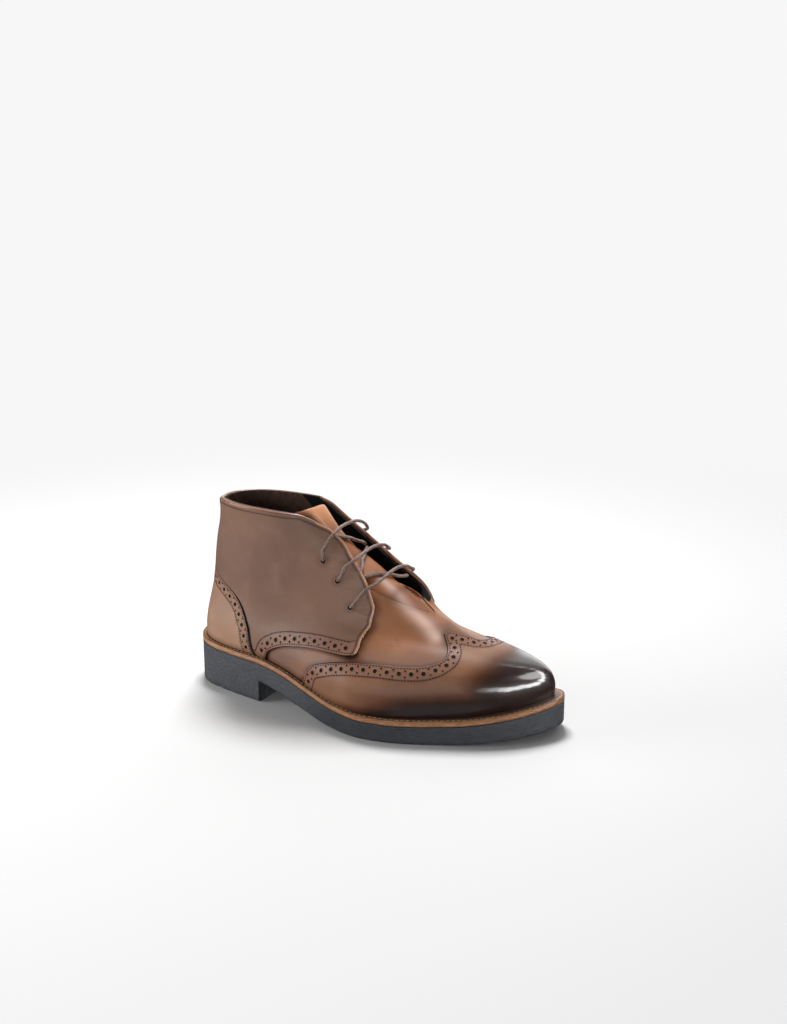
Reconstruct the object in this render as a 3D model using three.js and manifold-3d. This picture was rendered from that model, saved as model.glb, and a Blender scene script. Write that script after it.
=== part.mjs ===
// Laced leather ankle boot for the right foot, with a wing toe cap, on a rubber sole with a heel.
// Millimetres. +X runs from the heel to the toe, +Y to the inner (medial) side, +Z up from the floor.

import * as THREE from "three";
import { mergeVertices } from "three/addons/utils/BufferGeometryUtils.js";
import Module from "manifold-3d";

// Driving dimensions
const soleLength = 302;
const ballWidth = 110;
const heelHeight = 32;
const foreHeight = 13.4;
const heelBreast = 74.8;
const waistThickness = 15.5;
const toeSpring = 5.8;
const toeThickening = 4;
const weltThickness = 4.2;
const weltLedge = 4.6;
const toeLedge = 4;
const wallThickness = 2.4;
const panelThickness = 1.3;
const panelMargin = 0.7;
const insoleThickness = 3;
const insoleMargin = 1.2;
const tongueThickness = 3;
const tongueGap = 0.5;
const backHeight = 113;
const laceDiameter = 2.8;
const gap = 0.3;
const seatGap = 0.45;
const seamWidth = 1.4;
const cutterReach = 3;

// Mesh fineness
const outlineStations = 36;
const upperColumns = 48;
const upperRings = 15;
const quarterColumns = 6;
const counterColumns = 8;
const wingLayers = 6;
const cordSides = 8;
const cordSteps = 12;

// Plan of the sole: the place along its length, and how far each edge stands off the heel's centre line,
// as shares of the ball width.
const planRows = [
  { along: 0.0, lateral: 0.0, medial: 0.0 },
  { along: 0.018, lateral: 0.182, medial: 0.17 },
  { along: 0.045, lateral: 0.262, medial: 0.245 },
  { along: 0.075, lateral: 0.307, medial: 0.282 },
  { along: 0.115, lateral: 0.339, medial: 0.302 },
  { along: 0.18, lateral: 0.375, medial: 0.3 },
  { along: 0.255, lateral: 0.409, medial: 0.277 },
  { along: 0.33, lateral: 0.454, medial: 0.232 },
  { along: 0.42, lateral: 0.512, medial: 0.19 },
  { along: 0.5, lateral: 0.562, medial: 0.228 },
  { along: 0.575, lateral: 0.587, medial: 0.31 },
  { along: 0.64, lateral: 0.565, medial: 0.378 },
  { along: 0.7, lateral: 0.512, medial: 0.414 },
  { along: 0.77, lateral: 0.429, medial: 0.425 },
  { along: 0.84, lateral: 0.339, medial: 0.414 },
  { along: 0.9, lateral: 0.231, medial: 0.387 },
  { along: 0.95, lateral: 0.098, medial: 0.345 },
  { along: 0.98, lateral: -0.014, medial: 0.3 },
  { along: 1.0, lateral: -0.182, medial: 0.182 },
];

// Side view of the sole: lift is the share of the heel's extra height, spring the share of the toe spring.
const topRows = [
  { along: 0.0, lift: 1.06, spring: 0 },
  { along: 0.1, lift: 1.0, spring: 0 },
  { along: 0.24, lift: 0.975, spring: 0 },
  { along: 0.3, lift: 0.88, spring: 0 },
  { along: 0.34, lift: 0.77, spring: 0 },
  { along: 0.4, lift: 0.52, spring: 0 },
  { along: 0.46, lift: 0.27, spring: 0 },
  { along: 0.52, lift: 0.1, spring: 0 },
  { along: 0.58, lift: 0.01, spring: 0 },
  { along: 0.66, lift: 0.0, spring: 0 },
  { along: 0.8, lift: 0.0, spring: 0.15 },
  { along: 0.9, lift: 0.0, spring: 0.5 },
  { along: 1.0, lift: 0.0, spring: 1.0 },
];
const bottomRows = [
  { along: 0.258, arch: 1.0, spring: 0 },
  { along: 0.3, arch: 0.88, spring: 0 },
  { along: 0.36, arch: 0.64, spring: 0 },
  { along: 0.42, arch: 0.37, spring: 0 },
  { along: 0.48, arch: 0.14, spring: 0 },
  { along: 0.54, arch: 0.02, spring: 0 },
  { along: 0.58, arch: 0.0, spring: 0 },
  { along: 0.74, arch: 0.0, spring: 0 },
  { along: 0.82, arch: 0.0, spring: 0.12 },
  { along: 0.91, arch: 0.0, spring: 0.48 },
  { along: 1.0, arch: 0.0, spring: 1.0 },
];

// Rings of the last from the sole up to the collar. back and front are places along the sole, backUp and
// frontUp are shares of the back height above the welt. lateral and medial are half widths and middle the
// front's side shift, as shares of the ball width. oval runs from 0, the sole's own outline, to 1, an oval
// with its widest place at crest and a front of roundness nose.
const ringRows = [
  { back: 0.015, backUp: 0.0, front: 0.971, frontUp: 0.0, lateral: 0.545, medial: 0.385, middle: 0.165, oval: 0, crest: 0.6, nose: 2.0 },
  { back: 0.016, backUp: 0.08, front: 0.973, frontUp: 0.078, lateral: 0.55, medial: 0.39, middle: 0.16, oval: 0.0, crest: 0.6, nose: 2.0 },
  { back: 0.018, backUp: 0.16, front: 0.965, frontUp: 0.156, lateral: 0.52, medial: 0.37, middle: 0.15, oval: 0.18, crest: 0.58, nose: 2.0 },
  { back: 0.025, backUp: 0.27, front: 0.935, frontUp: 0.232, lateral: 0.455, medial: 0.335, middle: 0.125, oval: 0.5, crest: 0.55, nose: 1.95 },
  { back: 0.034, backUp: 0.39, front: 0.878, frontUp: 0.303, lateral: 0.395, medial: 0.305, middle: 0.085, oval: 0.8, crest: 0.52, nose: 1.85 },
  { back: 0.039, backUp: 0.51, front: 0.808, frontUp: 0.375, lateral: 0.355, medial: 0.285, middle: 0.055, oval: 1, crest: 0.49, nose: 1.75 },
  { back: 0.044, backUp: 0.63, front: 0.74, frontUp: 0.47, lateral: 0.335, medial: 0.275, middle: 0.03, oval: 1, crest: 0.47, nose: 1.7 },
  { back: 0.051, backUp: 0.74, front: 0.672, frontUp: 0.61, lateral: 0.32, medial: 0.27, middle: 0.015, oval: 1, crest: 0.46, nose: 1.75 },
  { back: 0.061, backUp: 0.85, front: 0.588, frontUp: 0.81, lateral: 0.31, medial: 0.262, middle: 0.01, oval: 1, crest: 0.46, nose: 2.0 },
  { back: 0.066, backUp: 0.935, front: 0.49, frontUp: 0.975, lateral: 0.31, medial: 0.255, middle: 0.0, oval: 1, crest: 0.47, nose: 2.3 },
  { back: 0.068, backUp: 1.0, front: 0.405, frontUp: 1.105, lateral: 0.31, medial: 0.25, middle: -0.01, oval: 1, crest: 0.48, nose: 2.5 },
];

// Rise of the collar's line between back and front, as shares of the back height.
const collarRows = [
  { share: 0.0, lateral: 0.0, medial: 0.0 },
  { share: 0.15, lateral: 0.03, medial: 0.0 },
  { share: 0.4, lateral: 0.028, medial: 0.0 },
  { share: 0.7, lateral: 0.018, medial: 0.0 },
  { share: 1.0, lateral: 0.0, medial: 0.0 },
];

// Front edges of the two quarters over the level, measured from the front as shares of half a turn.
// Beside the throat they are also the edges of its opening.
const quarterRows = [
  { level: 0.0, lateral: 0.657, medial: 0.657 },
  { level: 0.08, lateral: 0.65, medial: 0.65 },
  { level: 0.138, lateral: 0.635, medial: 0.635 },
  { level: 0.192, lateral: 0.61, medial: 0.61 },
  { level: 0.229, lateral: 0.575, medial: 0.575 },
  { level: 0.25, lateral: 0.54, medial: 0.54 },
  { level: 0.259, lateral: 0.505, medial: 0.505 },
  { level: 0.268, lateral: 0.475, medial: 0.475 },
  { level: 0.285, lateral: 0.46, medial: 0.46 },
  { level: 0.33, lateral: 0.45, medial: 0.45 },
  { level: 0.4, lateral: 0.435, medial: 0.425 },
  { level: 0.433, lateral: 0.423, medial: 0.408 },
  { level: 0.467, lateral: 0.41, medial: 0.388 },
  { level: 0.483, lateral: 0.402, medial: 0.378 },
  { level: 0.53, lateral: 0.378, medial: 0.34 },
  { level: 0.575, lateral: 0.36, medial: 0.3 },
  { level: 0.621, lateral: 0.335, medial: 0.25 },
  { level: 0.658, lateral: 0.315, medial: 0.19 },
  { level: 0.7, lateral: 0.299, medial: 0.165 },
  { level: 0.75, lateral: 0.274, medial: 0.175 },
  { level: 0.8, lateral: 0.25, medial: 0.222 },
  { level: 0.85, lateral: 0.222, medial: 0.272 },
  { level: 0.91, lateral: 0.18, medial: 0.319 },
  { level: 0.94, lateral: 0.18, medial: 0.335 },
  { level: 0.958, lateral: 0.21, medial: 0.344 },
  { level: 0.975, lateral: 0.24, medial: 0.356 },
  { level: 0.99, lateral: 0.278, medial: 0.38 },
];

// How far the counter reaches round from the back over the level, as a share of half a turn.
const counterRows = [
  { level: 0.0, reach: 0.316 },
  { level: 0.04, reach: 0.306 },
  { level: 0.11, reach: 0.3 },
  { level: 0.21, reach: 0.294 },
  { level: 0.285, reach: 0.281 },
  { level: 0.35, reach: 0.266 },
  { level: 0.4, reach: 0.243 },
  { level: 0.433, reach: 0.205 },
  { level: 0.467, reach: 0.14 },
  { level: 0.483, reach: 0.1 },
  { level: 0.53, reach: 0.086 },
  { level: 0.621, reach: 0.087 },
  { level: 0.85, reach: 0.082 },
  { level: 0.99, reach: 0.062 },
];

// Outward spring of the inner facing near its lower end, over the turn and the level around its middle.
const flare = { turn: 1.17, level: 0.725, turnSpread: 0.08, levelSpread: 0.045, reach: 3.3 };
const flareDirection = new THREE.Vector3(0.5, 0.7, 0.5).normalize();

// Level of the throat's lower end, and the height over which its end is round.
const throatLow = 0.685;
const throatRound = 0.05;

// Upper edge of the wing cap over the turn around the upper, from the lateral tail over the peak to the
// medial tail.
const wingRows = [
  { turn: 0.438, level: 0.012 },
  { turn: 0.441, level: 0.055 },
  { turn: 0.446, level: 0.108 },
  { turn: 0.457, level: 0.158 },
  { turn: 0.475, level: 0.19 },
  { turn: 0.5, level: 0.219 },
  { turn: 0.54, level: 0.247 },
  { turn: 0.59, level: 0.265 },
  { turn: 0.625, level: 0.27 },
  { turn: 0.66, level: 0.282 },
  { turn: 0.695, level: 0.317 },
  { turn: 0.727, level: 0.364 },
  { turn: 0.752, level: 0.411 },
  { turn: 0.785, level: 0.471 },
  { turn: 0.825, level: 0.537 },
  { turn: 0.855, level: 0.575 },
  { turn: 0.9, level: 0.588 },
  { turn: 0.94, level: 0.57 },
  { turn: 0.995, level: 0.537 },
  { turn: 1.095, level: 0.492 },
  { turn: 1.18, level: 0.43 },
  { turn: 1.24, level: 0.36 },
  { turn: 1.305, level: 0.3 },
  { turn: 1.36, level: 0.272 },
  { turn: 1.41, level: 0.265 },
  { turn: 1.46, level: 0.247 },
  { turn: 1.5, level: 0.219 },
  { turn: 1.525, level: 0.19 },
  { turn: 1.543, level: 0.158 },
  { turn: 1.554, level: 0.108 },
  { turn: 1.559, level: 0.055 },
  { turn: 1.562, level: 0.012 },
];

// Tongue, from its end under the vamp to above the collar. drop is its depth under the upper's wall and
// curl the further depth of its sides, as shares of the ball width; lateral and medial are half widths as
// shares of half a turn. endRound is how much lower the sides of its top end.
const tongueRows = [
  { level: 0.6, drop: 0.0, curl: 0.0, lateral: 0.33, medial: 0.25 },
  { level: 0.66, drop: 0.0, curl: 0.0, lateral: 0.36, medial: 0.28 },
  { level: 0.72, drop: 0.012, curl: 0.0, lateral: 0.36, medial: 0.29 },
  { level: 0.78, drop: 0.045, curl: 0.0, lateral: 0.34, medial: 0.31 },
  { level: 0.84, drop: 0.085, curl: 0.005, lateral: 0.33, medial: 0.33 },
  { level: 0.9, drop: 0.108, curl: 0.02, lateral: 0.34, medial: 0.35 },
  { level: 0.96, drop: 0.098, curl: 0.045, lateral: 0.37, medial: 0.36 },
  { level: 1.036, drop: 0.06, curl: 0.045, lateral: 0.4, medial: 0.34 },
];
const endRound = 0.06;

// Lace bars from a near eyelet over the throat to the outer side of the far facing. lift is the height of
// the cord's middle over the last's surface in cord diameters.
const laceRows = [
  { bar: 1, turn: 0.635, level: 0.814, lift: 1.25 },
  { bar: 1, turn: 0.67, level: 0.854, lift: 1.3 },
  { bar: 1, turn: 0.715, level: 0.883, lift: 1.3 },
  { bar: 1, turn: 0.79, level: 0.919, lift: 1.4 },
  { bar: 1, turn: 0.88, level: 0.945, lift: 1.2 },
  { bar: 1, turn: 0.965, level: 0.952, lift: 1.2 },
  { bar: 1, turn: 1.03, level: 0.948, lift: 1.0 },
  { bar: 1, turn: 1.11, level: 0.932, lift: 0.8 },
  { bar: 1, turn: 1.21, level: 0.9, lift: 0.9 },
  { bar: 1, turn: 1.28, level: 0.875, lift: 1.4 },
  { bar: 1, turn: 1.335, level: 0.855, lift: 1.4 },
  { bar: 1, turn: 1.38, level: 0.82, lift: 1.25 },
  { bar: 2, turn: 0.63, level: 0.742, lift: 1.25 },
  { bar: 2, turn: 0.7, level: 0.804, lift: 1.35 },
  { bar: 2, turn: 0.765, level: 0.834, lift: 1.4 },
  { bar: 2, turn: 0.88, level: 0.867, lift: 1.0 },
  { bar: 2, turn: 0.97, level: 0.876, lift: 1.0 },
  { bar: 2, turn: 1.04, level: 0.868, lift: 1.25 },
  { bar: 2, turn: 1.1, level: 0.856, lift: 0.95 },
  { bar: 2, turn: 1.18, level: 0.836, lift: 0.95 },
  { bar: 2, turn: 1.24, level: 0.82, lift: 1.4 },
  { bar: 2, turn: 1.3, level: 0.795, lift: 1.4 },
  { bar: 2, turn: 1.36, level: 0.75, lift: 1.25 },
  { bar: 3, turn: 0.61, level: 0.622, lift: 1.25 },
  { bar: 3, turn: 0.655, level: 0.683, lift: 1.35 },
  { bar: 3, turn: 0.71, level: 0.733, lift: 1.4 },
  { bar: 3, turn: 0.77, level: 0.762, lift: 1.2 },
  { bar: 3, turn: 0.9, level: 0.805, lift: 0.6 },
  { bar: 3, turn: 0.99, level: 0.812, lift: 0.8 },
  { bar: 3, turn: 1.04, level: 0.804, lift: 1.4 },
  { bar: 3, turn: 1.1, level: 0.788, lift: 1.35 },
  { bar: 3, turn: 1.17, level: 0.765, lift: 1.45 },
  { bar: 3, turn: 1.25, level: 0.735, lift: 1.45 },
  { bar: 3, turn: 1.33, level: 0.68, lift: 1.25 },
];

const wasm = await Module();
wasm.setup();

// Smooth value of one named column at a place, without overshoot.
function column(rows, key, name, place) {
  const count = rows.length;
  if (place <= rows[0][key]) return rows[0][name];
  if (place >= rows[count - 1][key]) return rows[count - 1][name];
  let index = 0;
  while (place > rows[index + 1][key]) index += 1;
  const slope = (i) => (rows[i + 1][name] - rows[i][name]) / (rows[i + 1][key] - rows[i][key]);
  const tangent = (i) => {
    if (i === 0) return slope(0);
    if (i === count - 1) return slope(count - 2);
    const before = slope(i - 1);
    const after = slope(i);
    return before * after <= 0 ? 0 : (2 * before * after) / (before + after);
  };
  const width = rows[index + 1][key] - rows[index][key];
  const t = (place - rows[index][key]) / width;
  const rise = rows[index + 1][name] - rows[index][name];
  const startTangent = tangent(index) * width;
  const endTangent = tangent(index + 1) * width;
  return (
    rows[index][name] +
    startTangent * t +
    (3 * rise - 2 * startTangent - endTangent) * t * t +
    (startTangent + endTangent - 2 * rise) * t * t * t
  );
}

// Rows keyed by the angle that goes once from the heel's back to the toe's tip, so that both ends are round.
const planByAngle = planRows.map((row) => ({ ...row, angle: Math.acos(1 - 2 * row.along) }));

function alongAtAngle(angle) {
  return (1 - Math.cos(angle)) / 2;
}

function planEdge(angle, side) {
  const name = side < 0 ? "lateral" : "medial";
  return side * column(planByAngle, "angle", name, angle) * ballWidth;
}

// Point of the sole's outline, moved in from the edge by inset.
function outlinePoint(angle, side, inset) {
  const step = 0.01;
  const low = Math.max(angle - step, 0);
  const high = Math.min(angle + step, Math.PI);
  const x = alongAtAngle(angle) * soleLength;
  const y = planEdge(angle, side);
  const dx = (alongAtAngle(high) - alongAtAngle(low)) * soleLength;
  const dy = planEdge(high, side) - planEdge(low, side);
  const atEnd = angle < step || angle > Math.PI - step;
  const length = Math.hypot(dx, dy);
  const normal = atEnd
    ? [angle < step ? 1 : -1, 0]
    : [(side * dy) / length, (-side * dx) / length];
  return [x + normal[0] * inset, y + normal[1] * inset];
}

function soleTop(x) {
  const along = x / soleLength;
  const lift = column(topRows, "along", "lift", along) * (heelHeight - foreHeight);
  const spring = column(topRows, "along", "spring", along) * (toeSpring + toeThickening);
  return foreHeight + lift + spring;
}

function soleBottom(x) {
  if (x <= heelBreast) return 0;
  const along = x / soleLength;
  const arch = column(bottomRows, "along", "arch", along) * (heelHeight - waistThickness);
  return arch + column(bottomRows, "along", "spring", along) * toeSpring;
}

function weltTop(x) {
  return soleTop(x) + gap + weltThickness;
}

// Angles of the outline's stations, with a pair of stations at the heel's breast.
function stationAngles() {
  const breastAngle = Math.acos(1 - (2 * heelBreast) / soleLength);
  const angles = [];
  for (let i = 0; i <= outlineStations; i += 1) {
    angles.push((Math.PI * i) / outlineStations);
  }
  const nearest = angles.reduce((best, a) => (Math.abs(a - breastAngle) < Math.abs(best - breastAngle) ? a : best));
  const place = angles.indexOf(nearest);
  angles.splice(place, 1, breastAngle - 0.002, breastAngle + 0.002);
  return angles;
}

// Triangles to a mesh geometry.
function geometryFrom(points, triangles) {
  const geometry = new THREE.BufferGeometry();
  geometry.setAttribute("position", new THREE.Float32BufferAttribute(points.flat(), 3));
  geometry.setIndex(triangles.flat());
  return geometry;
}

// Solid between stacked outlines. Each layer maps a station's angle and side to a point; the last layer
// is the lowest.
function stackedPlate(layers) {
  const angles = stationAngles();
  const last = angles.length - 1;
  const points = [];
  const triangles = [];
  const loop = [];
  angles.forEach((angle) => loop.push([angle, -1]));
  for (let i = last - 1; i > 0; i -= 1) loop.push([angles[i], 1]);
  const around = loop.length;
  layers.forEach((layer) => {
    loop.forEach(([angle, side]) => points.push(layer(angle, side)));
  });
  for (let k = 0; k + 1 < layers.length; k += 1) {
    for (let i = 0; i < around; i += 1) {
      const a = k * around + i;
      const b = k * around + ((i + 1) % around);
      triangles.push([a, a + around, b], [b, a + around, b + around]);
    }
  }
  const medial = (i) => (i === 0 || i === last ? i : around - i);
  const cap = (base, flip) => {
    for (let i = 0; i < last; i += 1) {
      const quad = [i, i + 1, medial(i + 1), medial(i)].map((n) => base + n);
      const faces = [];
      if (i + 1 === last) faces.push([quad[0], quad[1], quad[3]]);
      else faces.push([quad[0], quad[1], quad[2]]);
      if (i !== 0 && i + 1 !== last) faces.push([quad[0], quad[2], quad[3]]);
      faces.forEach((f) => triangles.push(flip ? [f[0], f[2], f[1]] : f));
    }
  };
  cap(0, false);
  cap((layers.length - 1) * around, true);
  return geometryFrom(points, triangles);
}

// Layer of the sole's own outline, moved in by inset, at a height over the length.
function outlineLayer(inset, height) {
  return (angle, side) => {
    const [x, y] = outlinePoint(angle, side, inset);
    return [x, y, height(alongAtAngle(angle) * soleLength)];
  };
}

// Ring levels carry their own place from 0 at the welt to 1 at the collar.
const rings = ringRows.map((row, i) => ({ ...row, level: i / (ringRows.length - 1) }));

function ringValue(level, name) {
  return column(rings, "level", name, level);
}

// Half width of the upper's lowest ring at a share of its length.
function footOutline(share, side) {
  const angle = Math.acos(1 - 2 * share);
  const ledge = weltLedge + toeLedge * share ** 6;
  const [, y] = outlinePoint(angle, side, ledge);
  const straight = share * ringValue(0, "middle") * ballWidth;
  return (side * (y - straight)) / (ringValue(0, side < 0 ? "lateral" : "medial") * ballWidth);
}

// Oval half width from 0 to 1 and back, widest at crest.
function ovalOutline(share, crest, nose) {
  const toBack = share < crest;
  const distance = toBack ? (crest - share) / crest : (share - crest) / (1 - crest);
  const power = toBack ? 2.1 : nose;
  return (1 - Math.min(distance, 1) ** power) ** (1 / power);
}

// Round hill from 1 at the middle to 0.
function bell(a, b) {
  return Math.exp(-(a ** 2) - b ** 2);
}

// Point of the last's surface. turn runs from 0 at the back over 1 at the front to 2 at the back again:
// the lateral side first, then the medial side. level runs from 0 at the welt to 1 at the collar; above
// that the surface goes straight on.
function lastPoint(fullTurn, level) {
  if (level > 1) {
    const step = 0.02;
    const top = lastPoint(fullTurn, 1);
    const slope = top.clone().sub(lastPoint(fullTurn, 1 - step)).divideScalar(step);
    return top.addScaledVector(slope, level - 1);
  }
  const turn = (fullTurn + 2) % 2;
  const side = turn <= 1 ? -1 : 1;
  const angle = (turn <= 1 ? turn : 2 - turn) * Math.PI;
  const share = (1 - Math.cos(angle)) / 2;
  const back = ringValue(level, "back") * soleLength;
  const front = ringValue(level, "front") * soleLength;
  const x = back + (front - back) * share;
  const backZ = weltTop(back) + seatGap + ringValue(level, "backUp") * backHeight;
  const frontZ = weltTop(front) + seatGap + ringValue(level, "frontUp") * backHeight;
  const footBackZ = weltTop(ringValue(0, "back") * soleLength) + seatGap;
  const footFrontZ = weltTop(ringValue(0, "front") * soleLength) + seatGap;
  const floorShare = Math.max(0, 1 - level / 0.25);
  const straightZ = backZ + (frontZ - backZ) * share;
  const footZ = footBackZ + (footFrontZ - footBackZ) * share;
  const collarRise = column(collarRows, "share", side < 0 ? "lateral" : "medial", share) * backHeight;
  const z = straightZ + (weltTop(x) + seatGap - footZ) * floorShare + collarRise * level ** 3;
  const oval = ringValue(level, "oval");
  const round = ovalOutline(share, ringValue(level, "crest"), ringValue(level, "nose"));
  const halfWidth = footOutline(share, side) * (1 - oval) + round * oval;
  const width = halfWidth * ringValue(level, side < 0 ? "lateral" : "medial") * ballWidth;
  const middle = share * ringValue(level, "middle") * ballWidth;
  const spring = flare.reach * bell((turn - flare.turn) / flare.turnSpread, (level - flare.level) / flare.levelSpread);
  return new THREE.Vector3(x, middle + side * width, z).addScaledVector(flareDirection, spring);
}

function lastNormal(turn, level) {
  const step = 0.004;
  const place = Math.min(level, 1);
  const around = lastPoint(turn + step, place).sub(lastPoint(turn - step, place));
  const up = lastPoint(turn, Math.min(place + step, 1)).sub(lastPoint(turn, Math.max(place - step, 0)));
  return around.cross(up).normalize();
}

// Point at a distance outside the last's surface, never lower than the seat over the welt.
function offsetPoint(turn, level, distance) {
  const point = lastPoint(turn, level).addScaledVector(lastNormal(turn, level), distance);
  point.z = Math.max(point.z, weltTop(point.x) + seatGap);
  return point;
}

// Hollow shell all round between two distances and two levels.
function ringShell(levelLow, levelHigh, inner, outer) {
  const points = [];
  const triangles = [];
  const across = upperRings + 1;
  const pointAt = (i, k, distance) => {
    const level = levelLow + ((levelHigh - levelLow) * k) / upperRings;
    return offsetPoint((2 * i) / upperColumns, level, distance).toArray();
  };
  for (let i = 0; i < upperColumns; i += 1) {
    for (let k = 0; k < across; k += 1) points.push(pointAt(i, k, outer));
    for (let k = across - 1; k >= 0; k -= 1) points.push(pointAt(i, k, inner));
  }
  const section = 2 * across;
  for (let i = 0; i < upperColumns; i += 1) {
    const next = (i + 1) % upperColumns;
    for (let k = 0; k < section; k += 1) {
      const up = (k + 1) % section;
      const a = i * section + k;
      const b = next * section + k;
      const c = next * section + up;
      const d = i * section + up;
      if (k < across) triangles.push([a, b, c], [a, c, d]);
      else triangles.push([a, b, d], [b, c, d]);
    }
  }
  return geometryFrom(points, triangles);
}

// Solid patch of the last between two distances, over a grid that place(i, k) maps to [turn, level].
function patch(columns, layers, place, inner, outer) {
  const points = [];
  const triangles = [];
  const sheet = (columns + 1) * (layers + 1);
  const distanceAt = (value, i, k) => (typeof value === "function" ? value(i / columns, k / layers) : value);
  [outer, inner].forEach((distance) => {
    for (let i = 0; i <= columns; i += 1) {
      for (let k = 0; k <= layers; k += 1) {
        const [turn, level] = place(i / columns, k / layers);
        points.push(offsetPoint(turn, level, distanceAt(distance, i, k)).toArray());
      }
    }
  });
  const index = (i, k) => i * (layers + 1) + k;
  for (let i = 0; i < columns; i += 1) {
    for (let k = 0; k < layers; k += 1) {
      const quad = [index(i, k), index(i + 1, k), index(i + 1, k + 1), index(i, k + 1)];
      triangles.push([quad[0], quad[1], quad[2]], [quad[0], quad[2], quad[3]]);
      const low = quad.map((n) => n + sheet);
      triangles.push([low[0], low[2], low[1]], [low[0], low[3], low[2]]);
    }
  }
  const rim = [];
  for (let i = 0; i < columns; i += 1) rim.push(index(i, 0));
  for (let k = 0; k < layers; k += 1) rim.push(index(columns, k));
  for (let i = columns; i > 0; i -= 1) rim.push(index(i, layers));
  for (let k = layers; k > 0; k -= 1) rim.push(index(0, k));
  rim.forEach((a, n) => {
    const b = rim[(n + 1) % rim.length];
    triangles.push([a, a + sheet, b], [b, a + sheet, b + sheet]);
  });
  return geometryFrom(points, triangles);
}

function solidFrom(geometry) {
  const bare = geometry.clone();
  bare.deleteAttribute("normal");
  bare.deleteAttribute("uv");
  const merged = mergeVertices(bare, 1e-4);
  return new wasm.Manifold(
    new wasm.Mesh({
      numProp: 3,
      vertProperties: new Float32Array(merged.attributes.position.array),
      triVerts: new Uint32Array(merged.index.array),
    }),
  );
}

function geometryOf(solid) {
  const mesh = solid.getMesh();
  const geometry = new THREE.BufferGeometry();
  geometry.setAttribute("position", new THREE.BufferAttribute(new Float32Array(mesh.vertProperties), 3));
  geometry.setIndex(new THREE.BufferAttribute(new Uint32Array(mesh.triVerts), 1));
  return geometry;
}

function outsole() {
  const edge = 1.2;
  return stackedPlate([
    outlineLayer(0, soleTop),
    outlineLayer(0, (x) => soleBottom(x) + edge),
    outlineLayer(edge, soleBottom),
  ]);
}

function welt() {
  const groove = 0.5;
  const height = (share) => (x) => soleTop(x) + gap + weltThickness * share;
  return stackedPlate([
    outlineLayer(groove, height(1)),
    outlineLayer(0, height(0.9)),
    outlineLayer(0, height(0.62)),
    outlineLayer(groove, height(0.55)),
    outlineLayer(0, height(0.48)),
    outlineLayer(0, height(0)),
  ]);
}

function insole() {
  const layer = (level, height) => (angle, side) => {
    const turn = side < 0 ? angle / Math.PI : 2 - angle / Math.PI;
    const point = offsetPoint(turn, level, -wallThickness - insoleMargin);
    return [point.x, point.y, weltTop(point.x) + seatGap + height];
  };
  return stackedPlate([layer(0.04, insoleThickness), layer(0.0, 0)]);
}

function frontEdge(name, level) {
  return column(quarterRows, "level", name, level);
}

// The throat's opening through the wall, a little narrower than the panels beside it.
function throatCutter() {
  const share = panelMargin / ballWidth;
  const place = (a, b) => {
    const level = throatLow + (1 + throatRound - throatLow) * b ** 1.5;
    const spread = Math.sqrt(Math.min(1, (level - throatLow) / throatRound + 0.01));
    const from = 1 - (frontEdge("lateral", level) - share) * spread;
    const to = 1 + (frontEdge("medial", level) - share) * spread;
    return [from + (to - from) * a, level];
  };
  return patch(12, 14, place, -wallThickness - cutterReach, cutterReach);
}

function upper() {
  const shell = solidFrom(ringShell(0, 1, -wallThickness, 0));
  return geometryOf(shell.subtract(solidFrom(throatCutter())));
}

// Panel of the layer over the upper's wall, cut out by a thick patch over the same place function.
function cutPanel(columns, layers, place) {
  const layer = solidFrom(ringShell(0, 1, gap, gap + panelThickness));
  const cutter = solidFrom(patch(columns, layers, place, gap - cutterReach, gap + panelThickness + cutterReach));
  return geometryOf(layer.intersect(cutter));
}

// Panel over the levels of some rows, between two edges given as turns at a row.
function rowPanel(columns, rows, fromTurn, toTurn) {
  const last = rows.length - 1;
  const place = (a, b) => {
    const row = rows[Math.round(b * last)];
    return [fromTurn(row) + (toTurn(row) - fromTurn(row)) * a, row.level];
  };
  return cutPanel(columns, last, place);
}

// Back edge of the quarters, a seam away from the counter.
function backEdge(level) {
  return column(counterRows, "level", "reach", level) + seamWidth / ballWidth;
}

function quarterLateral() {
  return rowPanel(quarterColumns, quarterRows, (row) => backEdge(row.level), (row) => 1 - row.lateral);
}

function quarterMedial() {
  return rowPanel(quarterColumns, quarterRows, (row) => 1 + row.medial, (row) => 2 - backEdge(row.level));
}

function heelCounter() {
  return rowPanel(counterColumns, counterRows, (row) => -row.reach, (row) => row.reach);
}

function wingCap() {
  const last = wingRows.length - 1;
  const place = (a, b) => {
    const row = wingRows[Math.round(a * last)];
    return [row.turn, row.level * b];
  };
  return cutPanel(last, wingLayers, place);
}

function tongue() {
  const low = tongueRows[0].level;
  const high = tongueRows[tongueRows.length - 1].level;
  const levelAt = (a, b) => low + (high - endRound * (2 * a - 1) ** 2 - low) * b;
  const value = (name, level) => column(tongueRows, "level", name, level);
  const place = (a, b) => {
    const level = levelAt(a, b);
    const from = 1 - value("lateral", level);
    const to = 1 + value("medial", level);
    return [from + (to - from) * a, level];
  };
  const outer = (a, b) => {
    const level = levelAt(a, b);
    const depth = value("drop", level) + value("curl", level) * (2 * a - 1) ** 2;
    return -wallThickness - tongueGap - depth * ballWidth;
  };
  return patch(8, 11, place, (a, b) => outer(a, b) - tongueThickness, outer);
}

// Round cord through points.
function cord(points) {
  const outline = new THREE.Shape();
  outline.absarc(0, 0, laceDiameter / 2, 0, 2 * Math.PI, false);
  const path = new THREE.CatmullRomCurve3(points, false, "centripetal");
  const geometry = new THREE.ExtrudeGeometry(outline, {
    steps: cordSteps,
    curveSegments: cordSides / 2,
    extrudePath: path,
    bevelEnabled: false,
  });
  return geometryOf(solidFrom(geometry));
}

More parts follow.
